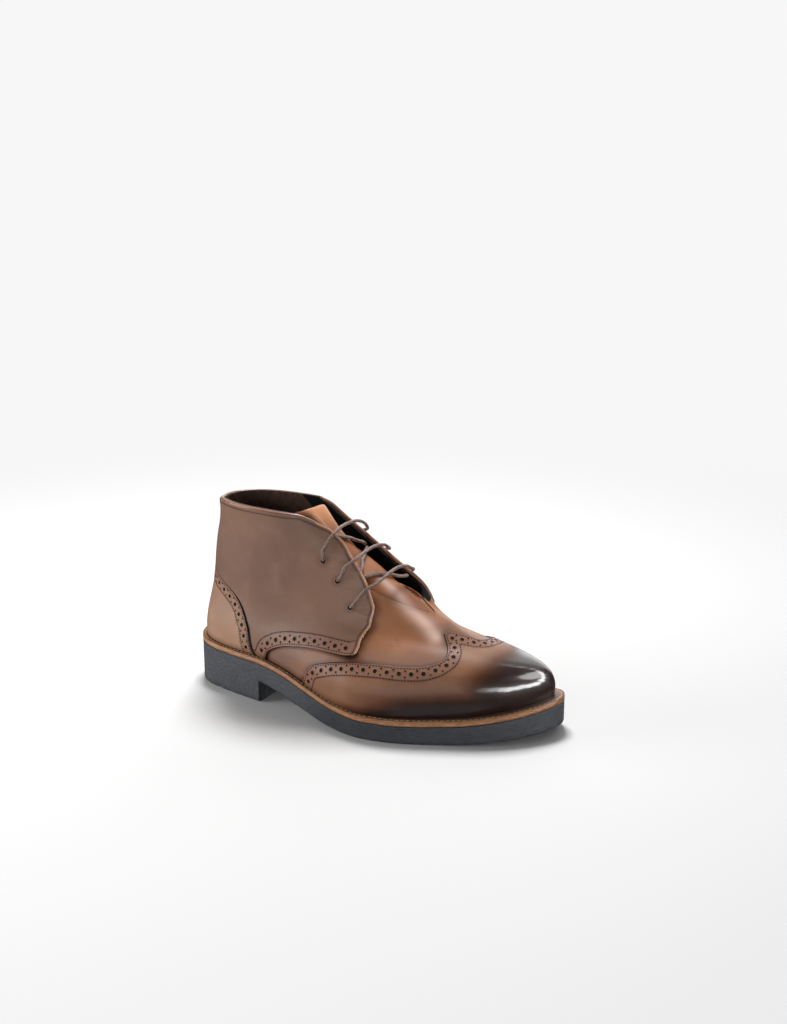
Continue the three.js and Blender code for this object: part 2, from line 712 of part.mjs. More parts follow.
function laceBar(bar) {
  const rows = laceRows.filter((row) => row.bar === bar);
  return cord(rows.map((row) => offsetPoint(row.turn, row.level, row.lift * laceDiameter)));
}

const group = new THREE.Group();

function addPiece(name, geometry, colour, roughness) {
  const material = new THREE.MeshStandardMaterial({ color: colour, roughness, metalness: 0 });
  const mesh = new THREE.Mesh(geometry, material);
  mesh.name = name;
  group.add(mesh);
}

addPiece("outsole", outsole(), 0x2b3038, 0.8);
addPiece("welt", welt(), 0xb9824f, 0.6);
addPiece("insole", insole(), 0x5b4030, 0.8);
addPiece("upper", upper(), 0x8a5b3c, 0.4);
addPiece("tongue", tongue(), 0x8f5d3a, 0.5);
addPiece("quarter_lateral", quarterLateral(), 0x7d5f4c, 0.4);
addPiece("quarter_medial", quarterMedial(), 0x7d5f4c, 0.4);
addPiece("heel_counter", heelCounter(), 0x94684c, 0.4);
addPiece("wing_cap", wingCap(), 0x5a3826, 0.35);
addPiece("lace_bar_1", laceBar(1), 0x4a3430, 0.7);
addPiece("lace_bar_2", laceBar(2), 0x4a3430, 0.7);
addPiece("lace_bar_3", laceBar(3), 0x4a3430, 0.7);

// The origin stands on the floor under the middle of the whole shoe.
const bounds = new THREE.Box3().setFromObject(group);
const shift = bounds.getCenter(new THREE.Vector3()).negate();
shift.z = -bounds.min.z;
group.children.forEach((mesh) => mesh.geometry.translate(shift.x, shift.y, shift.z));

export default group;
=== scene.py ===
# Laced leather ankle boot: the looks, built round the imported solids.
# The shapes are worked out in millimetres in the last's own frame, as in the part's source: x from the back
# of the heel to the toe, y to the inner side of the foot, z up from the floor.

import math
import random

import bpy
import numpy as np
from mathutils import Matrix
from mathutils.kdtree import KDTree


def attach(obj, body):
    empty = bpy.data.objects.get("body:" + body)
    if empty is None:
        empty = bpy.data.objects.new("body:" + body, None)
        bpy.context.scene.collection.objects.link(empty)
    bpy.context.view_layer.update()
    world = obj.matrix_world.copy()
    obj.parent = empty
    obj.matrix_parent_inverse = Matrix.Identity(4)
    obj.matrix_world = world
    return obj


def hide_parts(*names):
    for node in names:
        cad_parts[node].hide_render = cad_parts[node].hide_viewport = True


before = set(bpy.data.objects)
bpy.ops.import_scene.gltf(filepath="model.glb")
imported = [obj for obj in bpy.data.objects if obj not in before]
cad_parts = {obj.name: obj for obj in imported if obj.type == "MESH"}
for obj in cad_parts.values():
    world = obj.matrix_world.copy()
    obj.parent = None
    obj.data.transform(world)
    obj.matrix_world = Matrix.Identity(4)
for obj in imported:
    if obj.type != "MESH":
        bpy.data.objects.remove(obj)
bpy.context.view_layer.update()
random.seed(7)

# Sizes of the part's source, in millimetres
SOLE_LENGTH = 302.0
BALL_WIDTH = 110.0
HEEL_HEIGHT = 32.0
FORE_HEIGHT = 13.4
HEEL_BREAST = 74.8
WAIST_THICKNESS = 15.5
TOE_SPRING = 5.8
TOE_THICKENING = 4.0
WELT_THICKNESS = 4.2
WELT_LEDGE = 4.6
TOE_LEDGE = 4.0
WALL = 2.4
PANEL = 1.3
BACK_HEIGHT = 113.0
LACE_DIAMETER = 2.8
GAP = 0.3
SEAT_GAP = 0.45
SEAM_WIDTH = 1.4
TONGUE_THICKNESS = 3.0
TONGUE_GAP = 0.5
THROAT_LOW = 0.685
THROAT_ROUND = 0.05
END_ROUND = 0.065
TONGUE_END = 1.041
# Outward spring of the inner facing: turn, level, their spreads, reach and direction
FLARE = (1.17, 0.725, 0.08, 0.045, 3.3)
FLARE_DIRECTION = np.array([0.5, 0.7, 0.5]) / math.sqrt(0.99)
# Place of the last's frame in the row's frame
SHIFT = np.array([-151.0, 8.898, 0.0])


def table(names, rows):
    return {name: np.array([row[i] for row in rows]) for i, name in enumerate(names.split())}


PLAN = table("along lateral medial", [
    (0.0, 0.0, 0.0), (0.018, 0.182, 0.17), (0.045, 0.262, 0.245), (0.075, 0.307, 0.282),
    (0.115, 0.339, 0.302), (0.18, 0.375, 0.3), (0.255, 0.409, 0.277), (0.33, 0.454, 0.232),
    (0.42, 0.512, 0.19), (0.5, 0.562, 0.228), (0.575, 0.587, 0.31), (0.64, 0.565, 0.378),
    (0.7, 0.512, 0.414), (0.77, 0.429, 0.425), (0.84, 0.339, 0.414), (0.9, 0.231, 0.387),
    (0.95, 0.098, 0.345), (0.98, -0.014, 0.3), (1.0, -0.182, 0.182)])
TOP = table("along lift spring", [
    (0.0, 1.06, 0), (0.1, 1.0, 0), (0.24, 0.975, 0), (0.3, 0.88, 0), (0.34, 0.77, 0), (0.4, 0.52, 0),
    (0.46, 0.27, 0), (0.52, 0.1, 0), (0.58, 0.01, 0), (0.66, 0.0, 0), (0.8, 0.0, 0.15), (0.9, 0.0, 0.5),
    (1.0, 0.0, 1.0)])
BOTTOM = table("along arch spring", [
    (0.258, 1.0, 0), (0.3, 0.88, 0), (0.36, 0.64, 0), (0.42, 0.37, 0), (0.48, 0.14, 0), (0.54, 0.02, 0),
    (0.58, 0.0, 0), (0.74, 0.0, 0), (0.82, 0.0, 0.12), (0.91, 0.0, 0.48), (1.0, 0.0, 1.0)])
RINGS = table("back backUp front frontUp lateral medial middle oval crest nose", [
    (0.015, 0.0, 0.971, 0.0, 0.545, 0.385, 0.165, 0, 0.6, 2.0),
    (0.016, 0.08, 0.973, 0.078, 0.55, 0.39, 0.16, 0.0, 0.6, 2.0),
    (0.018, 0.16, 0.965, 0.156, 0.52, 0.37, 0.15, 0.18, 0.58, 2.0),
    (0.025, 0.27, 0.935, 0.232, 0.455, 0.335, 0.125, 0.5, 0.55, 1.95),
    (0.034, 0.39, 0.878, 0.303, 0.395, 0.305, 0.085, 0.8, 0.52, 1.85),
    (0.039, 0.51, 0.808, 0.375, 0.355, 0.285, 0.055, 1, 0.49, 1.75),
    (0.044, 0.63, 0.74, 0.47, 0.335, 0.275, 0.03, 1, 0.47, 1.7),
    (0.051, 0.74, 0.672, 0.61, 0.32, 0.27, 0.015, 1, 0.46, 1.75),
    (0.061, 0.85, 0.588, 0.81, 0.31, 0.262, 0.01, 1, 0.46, 2.0),
    (0.066, 0.935, 0.49, 0.975, 0.31, 0.255, 0.0, 1, 0.47, 2.3),
    (0.068, 1.0, 0.405, 1.105, 0.31, 0.25, -0.01, 1, 0.48, 2.5)])
RINGS["level"] = np.linspace(0, 1, len(RINGS["back"]))
COLLAR = table("share lateral medial", [
    (0.0, 0.0, 0.0), (0.15, 0.03, 0.0), (0.4, 0.028, 0.0), (0.7, 0.018, 0.0), (1.0, 0.0, 0.0)])
QUARTER = table("level lateral medial", [
    (0.0, 0.657, 0.657), (0.08, 0.65, 0.65), (0.138, 0.635, 0.635), (0.192, 0.61, 0.61),
    (0.229, 0.575, 0.575), (0.25, 0.54, 0.54), (0.259, 0.505, 0.505), (0.268, 0.475, 0.475),
    (0.285, 0.46, 0.46), (0.33, 0.45, 0.45), (0.4, 0.435, 0.425), (0.433, 0.423, 0.408),
    (0.467, 0.41, 0.388), (0.483, 0.402, 0.378), (0.53, 0.378, 0.34), (0.575, 0.36, 0.3),
    (0.621, 0.335, 0.25), (0.658, 0.315, 0.19), (0.7, 0.299, 0.165), (0.75, 0.274, 0.175),
    (0.8, 0.25, 0.222), (0.85, 0.222, 0.272), (0.91, 0.18, 0.319), (0.94, 0.18, 0.335),
    (0.958, 0.21, 0.344), (0.975, 0.24, 0.356), (0.99, 0.278, 0.38)])
COUNTER = table("level reach", [
    (0.0, 0.316), (0.04, 0.306), (0.11, 0.3), (0.21, 0.294), (0.285, 0.281), (0.35, 0.266), (0.4, 0.243),
    (0.433, 0.205), (0.467, 0.14), (0.483, 0.1), (0.53, 0.086), (0.621, 0.087), (0.85, 0.082), (0.99, 0.062)])
WING = table("turn level", [
    (0.438, 0.012), (0.441, 0.055), (0.446, 0.108), (0.457, 0.158), (0.475, 0.19), (0.5, 0.219),
    (0.54, 0.247), (0.59, 0.265), (0.625, 0.27), (0.66, 0.282), (0.695, 0.317), (0.727, 0.364),
    (0.752, 0.411), (0.785, 0.471), (0.825, 0.537), (0.855, 0.575), (0.9, 0.588), (0.94, 0.57),
    (0.995, 0.537), (1.095, 0.492), (1.18, 0.43), (1.24, 0.36), (1.305, 0.3), (1.36, 0.272),
    (1.41, 0.265), (1.46, 0.247), (1.5, 0.219), (1.525, 0.19), (1.543, 0.158), (1.554, 0.108),
    (1.559, 0.055), (1.562, 0.012)])
TONGUE = table("level drop curl lateral medial", [
    (0.6, 0.0, 0.0, 0.33, 0.25), (0.66, 0.0, 0.0, 0.36, 0.28), (0.72, 0.012, 0.0, 0.36, 0.29),
    (0.78, 0.045, 0.0, 0.34, 0.31), (0.84, 0.085, 0.005, 0.33, 0.33), (0.9, 0.108, 0.02, 0.34, 0.35),
    (0.96, 0.098, 0.045, 0.37, 0.36), (1.036, 0.06, 0.045, 0.4, 0.34)])
LACES = {
    1: [(0.635, 0.814, 1.25), (0.67, 0.854, 1.3), (0.715, 0.883, 1.3), (0.79, 0.919, 1.4), (0.88, 0.945, 1.2),
        (0.965, 0.952, 1.2), (1.03, 0.948, 1.0), (1.11, 0.932, 0.8), (1.21, 0.9, 0.9), (1.28, 0.875, 1.4),
        (1.335, 0.855, 1.4), (1.38, 0.82, 1.25)],
    2: [(0.63, 0.742, 1.25), (0.7, 0.804, 1.35), (0.765, 0.834, 1.4), (0.88, 0.867, 1.0), (0.97, 0.876, 1.0),
        (1.04, 0.868, 1.25), (1.1, 0.856, 0.95), (1.18, 0.836, 0.95), (1.24, 0.82, 1.4), (1.3, 0.795, 1.4),
        (1.36, 0.75, 1.25)],
    3: [(0.61, 0.622, 1.25), (0.655, 0.683, 1.35), (0.71, 0.733, 1.4), (0.77, 0.762, 1.2), (0.9, 0.805, 0.6),
        (0.99, 0.812, 0.8), (1.04, 0.804, 1.4), (1.1, 0.788, 1.35), (1.17, 0.765, 1.45), (1.25, 0.735, 1.45),
        (1.33, 0.68, 1.25)]}


# The last's surface

def column(rows, key, name, place):
    """Smooth value of one named column at a place, without overshoot."""
    xs, ys = rows[key], rows[name]
    place = np.clip(np.asarray(place, float), xs[0], xs[-1])
    slopes = np.diff(ys) / np.diff(xs)
    tangents = np.zeros(len(xs))
    tangents[0], tangents[-1] = slopes[0], slopes[-1]
    product = slopes[:-1] * slopes[1:]
    total = np.where(product > 0, slopes[:-1] + slopes[1:], 1.0)
    tangents[1:-1] = np.where(product > 0, 2 * product / total, 0.0)
    index = np.clip(np.searchsorted(xs, place, "right") - 1, 0, len(xs) - 2)
    width = xs[index + 1] - xs[index]
    t = (place - xs[index]) / width
    rise = ys[index + 1] - ys[index]
    start, end = tangents[index] * width, tangents[index + 1] * width
    return ys[index] + start * t + (3 * rise - 2 * start - end) * t**2 + (start + end - 2 * rise) * t**3


PLAN["angle"] = np.arccos(1 - 2 * PLAN["along"])


def along_at(angle):
    return (1 - np.cos(angle)) / 2


def plan_edge(angle, side):
    edge = np.where(side < 0, column(PLAN, "angle", "lateral", angle), column(PLAN, "angle", "medial", angle))
    return side * edge * BALL_WIDTH


def outline_point(angle, side, inset):
    """Point of the sole's outline, moved in from the edge by inset."""
    step = 0.01
    low, high = np.maximum(angle - step, 0), np.minimum(angle + step, math.pi)
    dx = (along_at(high) - along_at(low)) * SOLE_LENGTH
    dy = plan_edge(high, side) - plan_edge(low, side)
    length = np.hypot(dx, dy)
    at_end = (angle < step) | (angle > math.pi - step)
    nx = np.where(at_end, np.where(angle < step, 1.0, -1.0), side * dy / length)
    ny = np.where(at_end, 0.0, -side * dx / length)
    return along_at(angle) * SOLE_LENGTH + nx * inset, plan_edge(angle, side) + ny * inset


def sole_top(x):
    along = x / SOLE_LENGTH
    lift = column(TOP, "along", "lift", along) * (HEEL_HEIGHT - FORE_HEIGHT)
    return FORE_HEIGHT + lift + column(TOP, "along", "spring", along) * (TOE_SPRING + TOE_THICKENING)


def sole_bottom(x):
    along = x / SOLE_LENGTH
    arch = column(BOTTOM, "along", "arch", along) * (HEEL_HEIGHT - WAIST_THICKNESS)
    return np.where(x <= HEEL_BREAST, 0.0, arch + column(BOTTOM, "along", "spring", along) * TOE_SPRING)


def welt_top(x):
    return sole_top(x) + GAP + WELT_THICKNESS


def smoothed_rings():
    """The rings' columns on fine levels, with the small kinks between rings rounded off."""
    fine = np.linspace(0, 1, 401)
    weights = np.exp(-(np.arange(-42, 43) / 15) ** 2)
    result = {}
    for name in RINGS:
        values = column(RINGS, "level", name, fine)
        before = 2 * values[0] - values[42:0:-1]
        after = 2 * values[-1] - values[-2:-44:-1]
        result[name] = np.convolve(np.concatenate([before, values, after]), weights / weights.sum(), "valid")
    return fine, result


FINE_LEVELS, FINE_RINGS = smoothed_rings()


def ring(level, name):
    return np.interp(level, FINE_LEVELS, FINE_RINGS[name])


def foot_outline(share, side):
    angle = np.arccos(np.clip(1 - 2 * share, -1, 1))
    _, y = outline_point(angle, side, WELT_LEDGE + TOE_LEDGE * share**6)
    straight = share * ring(0, "middle") * BALL_WIDTH
    width = np.where(side < 0, ring(0, "lateral"), ring(0, "medial"))
    return side * (y - straight) / (width * BALL_WIDTH)


def oval_outline(share, crest, nose):
    back = share < crest
    distance = np.where(back, (crest - share) / crest, (share - crest) / (1 - crest))
    power = np.where(back, 2.1, nose)
    return (1 - np.minimum(distance, 1) ** power) ** (1 / power)


def low_point(turn, level):
    turn = np.mod(turn, 2)
    side = np.where(turn <= 1, -1.0, 1.0)
    angle = np.where(turn <= 1, turn, 2 - turn) * math.pi
    share = (1 - np.cos(angle)) / 2
    back, front = ring(level, "back") * SOLE_LENGTH, ring(level, "front") * SOLE_LENGTH
    x = back + (front - back) * share
    back_z = welt_top(back) + SEAT_GAP + ring(level, "backUp") * BACK_HEIGHT
    front_z = welt_top(front) + SEAT_GAP + ring(level, "frontUp") * BACK_HEIGHT
    foot_back = welt_top(ring(0, "back") * SOLE_LENGTH) + SEAT_GAP
    foot_front = welt_top(ring(0, "front") * SOLE_LENGTH) + SEAT_GAP
    floor_share = np.maximum(0, 1 - level / 0.25)
    straight = back_z + (front_z - back_z) * share
    foot_z = foot_back + (foot_front - foot_back) * share
    rise = np.where(side < 0, column(COLLAR, "share", "lateral", share), column(COLLAR, "share", "medial", share))
    z = straight + (welt_top(x) + SEAT_GAP - foot_z) * floor_share + rise * BACK_HEIGHT * level**3
    oval = ring(level, "oval")
    round_width = oval_outline(share, ring(level, "crest"), ring(level, "nose"))
    half = foot_outline(share, side) * (1 - oval) + round_width * oval
    width = half * np.where(side < 0, ring(level, "lateral"), ring(level, "medial")) * BALL_WIDTH
    y = share * ring(level, "middle") * BALL_WIDTH + side * width
    spring = FLARE[4] * np.exp(-(((turn - FLARE[0]) / FLARE[2]) ** 2) - ((level - FLARE[1]) / FLARE[3]) ** 2)
    return np.stack([x, y, z], -1) + spring[..., None] * FLARE_DIRECTION


def last_point(turn, level):
    """Point of the last. turn: 0 back, 1 front over the outer side, 2 back; level: 0 welt, 1 collar."""
    turn, level = np.broadcast_arrays(np.asarray(turn, float), np.asarray(level, float))
    step = 0.02
    top = low_point(turn, np.minimum(level, 1))
    slope = (low_point(turn, np.ones_like(level)) - low_point(turn, np.full_like(level, 1 - step))) / step
    return top + slope * np.maximum(level - 1, 0)[..., None]


def last_normal(turn, level):
    turn, level = np.broadcast_arrays(np.asarray(turn, float), np.asarray(level, float))
    step = 0.006
    place = np.minimum(level, 1)
    around = low_point(turn + step, place) - low_point(turn - step, place)
    up = low_point(turn, np.minimum(place + step, 1)) - low_point(turn, np.maximum(place - step, 0))
    normal = np.cross(around, up)
    return normal / np.linalg.norm(normal, axis=-1, keepdims=True)


def offset_point(turn, level, distance):
    """Point at a distance outside the last, never lower than the seat over the welt."""
    point = last_point(turn, level) + last_normal(turn, level) * np.asarray(distance, float)[..., None]
    point[..., 2] = np.maximum(point[..., 2], welt_top(point[..., 0]) + SEAT_GAP)
    return point


def walk(turn, level, move):
    """The place on the last that lies a move in millimetres away, along the surface."""
    turn, level = np.array(turn, float), np.array(level, float)
    step = 0.003
    for _ in range(4):
        part = move / 4
        across = (last_point(turn + step, level) - last_point(turn - step, level)) / (2 * step)
        upward = (last_point(turn, level + step) - last_point(turn, level - step)) / (2 * step)
        aa, bb, ab = (across**2).sum(-1), (upward**2).sum(-1), (across * upward).sum(-1)
        ma, mb = (across * part).sum(-1), (upward * part).sum(-1)
        det = aa * bb - ab**2
        turn = turn + (ma * bb - mb * ab) / det
        level = level + (mb * aa - ma * ab) / det
    return turn, level


def smooth_step(value, low, high):
    t = np.clip((value - low) / (high - low), 0, 1)
    return t * t * (3 - 2 * t)


# Curves on the last, as arrays of turn and level

def resample(turn, level, pitch):
    """The same curve with its points a pitch apart."""
    points = last_point(turn, level)
    length = np.concatenate([[0], np.cumsum(np.linalg.norm(np.diff(points, axis=0), axis=1))])
    count = max(2, int(round(length[-1] / pitch)) + 1)
    places = np.linspace(0, length[-1], count)
    return np.interp(places, length, turn), np.interp(places, length, level)


def offset_curve(turn, level, distance):
    """The curve moved sideways over the surface: to the left of its run for a plus distance."""
    points = last_point(turn, level)
    tangent = np.gradient(points, axis=0)
    tangent /= np.linalg.norm(tangent, axis=1, keepdims=True)
    kernel = np.ones(5) / 5
    for axis in range(3):
        padded = np.pad(tangent[:, axis], 2, mode="edge")
        tangent[:, axis] = np.convolve(padded, kernel, "valid")
    sideways = np.cross(last_normal(turn, level), tangent)
    sideways /= np.linalg.norm(sideways, axis=1, keepdims=True)
    moved = walk(turn, level, sideways * distance)
    clear = distance_to(last_point(*moved), last_point(*resample(turn, level, 0.3))) > 0.93 * abs(distance)
    return moved[0][clear], moved[1][clear]


# Meshes

def make_mesh(name, points, faces, materials, attributes=None, indices=None, smooth=True):
    mesh = bpy.data.meshes.new(name)
    mesh.from_pydata((np.asarray(points) + SHIFT) * 0.001, [], faces)
    for attribute, values in (attributes or {}).items():
        layer = mesh.attributes.new(attribute, "FLOAT", "POINT")
        layer.data.foreach_set("value", np.asarray(values, np.float32).ravel())
    for material in materials:
        mesh.materials.append(material)
    if indices is not None:
        mesh.polygons.foreach_set("material_index", np.asarray(indices, np.int32))
    mesh.polygons.foreach_set("use_smooth", [smooth] * len(mesh.polygons))
    mesh.update()
    piece = bpy.data.objects.new(name, mesh)
    bpy.context.scene.collection.objects.link(piece)
    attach(piece, "root")
    return piece


def grid_faces(columns, rows, start=0, flip=False, closed=False):
    i, k = np.meshgrid(np.arange(columns if closed else columns - 1), np.arange(rows - 1), indexing="ij")
    following = (i + 1) % columns
    quads = np.stack([i * rows + k, following * rows + k, following * rows + k + 1, i * rows + k + 1], -1)
    quads = quads.reshape(-1, 4) + start
    return quads[:, ::-1] if flip else quads


def rim_faces(columns, rows):
    index = np.arange(columns * rows).reshape(columns, rows)
    rim = np.concatenate([index[:-1, 0], index[-1, :-1], index[:0:-1, -1], index[0, :0:-1]])
    following = np.roll(rim, -1)
    size = columns * rows
    return np.stack([rim, rim + size, following + size, following], -1)


def places(count, edge=0.0):
    """Places from 0 to 1, with a few more close to both ends."""
    base = np.linspace(0, 1, count)
    if edge == 0:
        return base
    more = edge * np.array([0.12, 0.3, 0.6, 1.0])
    return np.unique(np.concatenate([base, more, 1 - more]))


def edge_distances(points):
    """Distance along the grid of points to each of its four edges: first and last column, first and last row."""
    across = np.concatenate([np.zeros_like(points[:1, :, 0]), np.linalg.norm(np.diff(points, axis=0), axis=2)])
    across = np.cumsum(across, axis=0)
    upward = np.concatenate([np.zeros_like(points[:, :1, 0]), np.linalg.norm(np.diff(points, axis=1), axis=2)], axis=1)
    upward = np.cumsum(upward, axis=1)
    return across, across[-1:] - across, upward, upward[:, -1:] - upward


def distance_to(points, curve):
    """Distance in millimetres from each point to a dense row of points."""
    tree = KDTree(len(curve))
    for i, point in enumerate(curve):
        tree.insert(point, i)
    tree.balance()
    flat = points.reshape(-1, 3)
    return np.array([tree.find(point)[2] for point in flat]).reshape(points.shape[:-1])


def round_edge(distances, radius, thickness):
    """Share of the thickness kept near an edge, so that the edge is round."""
    nearest = np.minimum.reduce(distances)
    t = np.clip(nearest / radius, 0, 1)
    return thickness * (0.3 + 0.7 * np.sqrt(1 - (1 - t) ** 2))


def closed_patch(name, turn, level, inner, outer, materials, attributes=None, inner_slot=0, weld=0.0):
    columns, rows = turn.shape
    top = offset_point(turn, level, outer)
    low = offset_point(turn, level, inner)
    points = np.concatenate([top.reshape(-1, 3), low.reshape(-1, 3)])
    top_faces = grid_faces(columns, rows)
    low_faces = grid_faces(columns, rows, columns * rows, flip=True)
    rim = rim_faces(columns, rows)
    faces = np.concatenate([top_faces, low_faces, rim]).tolist()
    indices = [0] * len(top_faces) + [inner_slot] * len(low_faces) + [0] * len(rim)
    doubled = {key: np.concatenate([value.ravel(), value.ravel()]) for key, value in (attributes or {}).items()}
    piece = make_mesh(name, points, faces, materials, doubled, indices)
    if weld:
        modifier = piece.modifiers.new("weld", "WELD")
        modifier.merge_threshold = weld
    return piece


def basis(turn, level, reach=0.0):
    """Points, directions along the curve, across it and out of the surface."""
    points = offset_point(turn, level, np.full(len(turn), reach))
    along = np.gradient(points, axis=0)
    along /= np.linalg.norm(along, axis=1, keepdims=True)
    out = last_normal(turn, level)
    across = np.cross(out, along)
    across /= np.linalg.norm(across, axis=1, keepdims=True)
    out = np.cross(along, across)
    return points, along, across, out


def scatter(name, template, faces, frames, materials, indices=None, scales=None):
    """Copies of a small template on frames of points and three directions."""
    points, along, across, out = frames
    template = np.asarray(template, float)
    scales = np.ones(len(points)) if scales is None else scales
    local = template[None, :, :] * scales[:, None, None]
    placed = points[:, None, :] + local[..., :1] * along[:, None, :] + local[..., 1:2] * across[:, None, :]
    placed = placed + local[..., 2:] * out[:, None, :]
    count = len(template)
    all_faces = [[vertex + i * count for vertex in face] for i in range(len(points)) for face in faces]
    slots = None if indices is None else list(indices) * len(points)
    return make_mesh(name, placed.reshape(-1, 3), all_faces, materials, indices=slots)


def bead_template(length, width, height):
    """A stitch: a closed bead along x, half sunk."""
    stations = [(-0.5, 0.0), (-0.42, 0.7), (-0.15, 1.0), (0.15, 1.0), (0.42, 0.7), (0.5, 0.0)]
    sides = 6
    points, faces = [(-0.5 * length, 0, 0)], []
    for x, size in stations[1:-1]:
        for k in range(sides):
            angle = 2 * math.pi * k / sides
            points.append((x * length, math.cos(angle) * size * width / 2, math.sin(angle) * size * height / 2))
    points.append((0.5 * length, 0, 0))
    rings = len(stations) - 2
    for k in range(sides):
        nxt = (k + 1) % sides
        faces.append([0, 1 + nxt, 1 + k])
        for j in range(rings - 1):
            base = 1 + j * sides
            faces.append([base + k, base + nxt, base + sides + nxt, base + sides + k])
        last = 1 + (rings - 1) * sides
        faces.append([last + k, last + nxt, len(points) - 1])
    return points, faces


def hole_template(radius, depth=0.12):
    """A punched hole: a flat bottom painted dark as the shade inside it, and a soft raised rim."""
    sides = 14
    rings = [(0.78, 0.02), (0.92, depth * 0.6), (1.08, depth), (1.3, -0.06)]
    points, faces, slots = [(0, 0, 0.02)], [], []
    for size, height in rings:
        for k in range(sides):
            angle = 2 * math.pi * k / sides
            points.append((math.cos(angle) * radius * size, math.sin(angle) * radius * size, height))
    for k in range(sides):
        nxt = (k + 1) % sides
        faces.append([0, 1 + k, 1 + nxt])
        slots.append(0)
        for j in range(len(rings) - 1):
            base = 1 + j * sides
            faces.append([base + k, base + sides + k, base + sides + nxt, base + nxt])
            slots.append(0 if j < 1 else 1)
    bottom = len(points)
    points.append((0, 0, -0.3))
    outer = 1 + (len(rings) - 1) * sides
    for k in range(sides):
        nxt = (k + 1) % sides
        faces.append([bottom, outer + nxt, outer + k])
        slots.append(1)
    return points, faces, slots


def tube(name, points, radius, materials, sides=14, attributes=None, wave=None):
    """A closed round tube through points; wave(length) changes its radius along the way."""
    points = np.asarray(points, float)
    length = np.concatenate([[0], np.cumsum(np.linalg.norm(np.diff(points, axis=0), axis=1))])
    tangent = np.gradient(points, axis=0)
    tangent /= np.linalg.norm(tangent, axis=1, keepdims=True)
    normal = np.zeros_like(points)
    start = np.cross(tangent[0], [0.3, 0.5, 0.8])
    normal[0] = start / np.linalg.norm(start)
    for i in range(1, len(points)):
        following = normal[i - 1] - tangent[i] * np.dot(normal[i - 1], tangent[i])
        normal[i] = following / np.linalg.norm(following)
    side = np.cross(tangent, normal)
    angles = np.linspace(0, 2 * math.pi, sides, endpoint=False)
    size = np.full((len(points), sides), float(radius))
    if wave is not None:
        size = size * wave(length[:, None], angles[None, :])
    ring_points = points[:, None, :] + size[..., None] * (
        np.cos(angles)[None, :, None] * normal[:, None, :] + np.sin(angles)[None, :, None] * side[:, None, :])
    all_points = np.concatenate([ring_points.reshape(-1, 3), points[:1], points[-1:]])
    faces = []
    for i in range(len(points) - 1):
        for k in range(sides):
            nxt = (k + 1) % sides
            faces.append([i * sides + k, i * sides + nxt, (i + 1) * sides + nxt, (i + 1) * sides + k])
    first, last = len(all_points) - 2, len(all_points) - 1
    base = (len(points) - 1) * sides
    for k in range(sides):
        nxt = (k + 1) % sides
        faces.append([first, nxt, k])
        faces.append([last, base + k, base + nxt])
    return make_mesh(name, all_points, faces, materials)


def smooth_path(points, count):
    """A smooth curve with evenly spaced points through a few given ones."""
    points = np.asarray(points, float)
    chord = np.concatenate([[0], np.cumsum(np.sqrt(np.linalg.norm(np.diff(points, axis=0), axis=1)))])
    tangents = np.gradient(points, chord, axis=0)
    place = np.linspace(0, chord[-1], count)
    index = np.clip(np.searchsorted(chord, place, "right") - 1, 0, len(chord) - 2)
    width = (chord[index + 1] - chord[index])[:, None]
    t = (place[:, None] - chord[index][:, None]) / width
    a, b = points[index], points[index + 1]
    ta, tb = tangents[index] * width, tangents[index + 1] * width
    rise = b - a
    return a + ta * t + (3 * rise - 2 * ta - tb) * t**2 + (ta + tb - 2 * rise) * t**3


# Materials

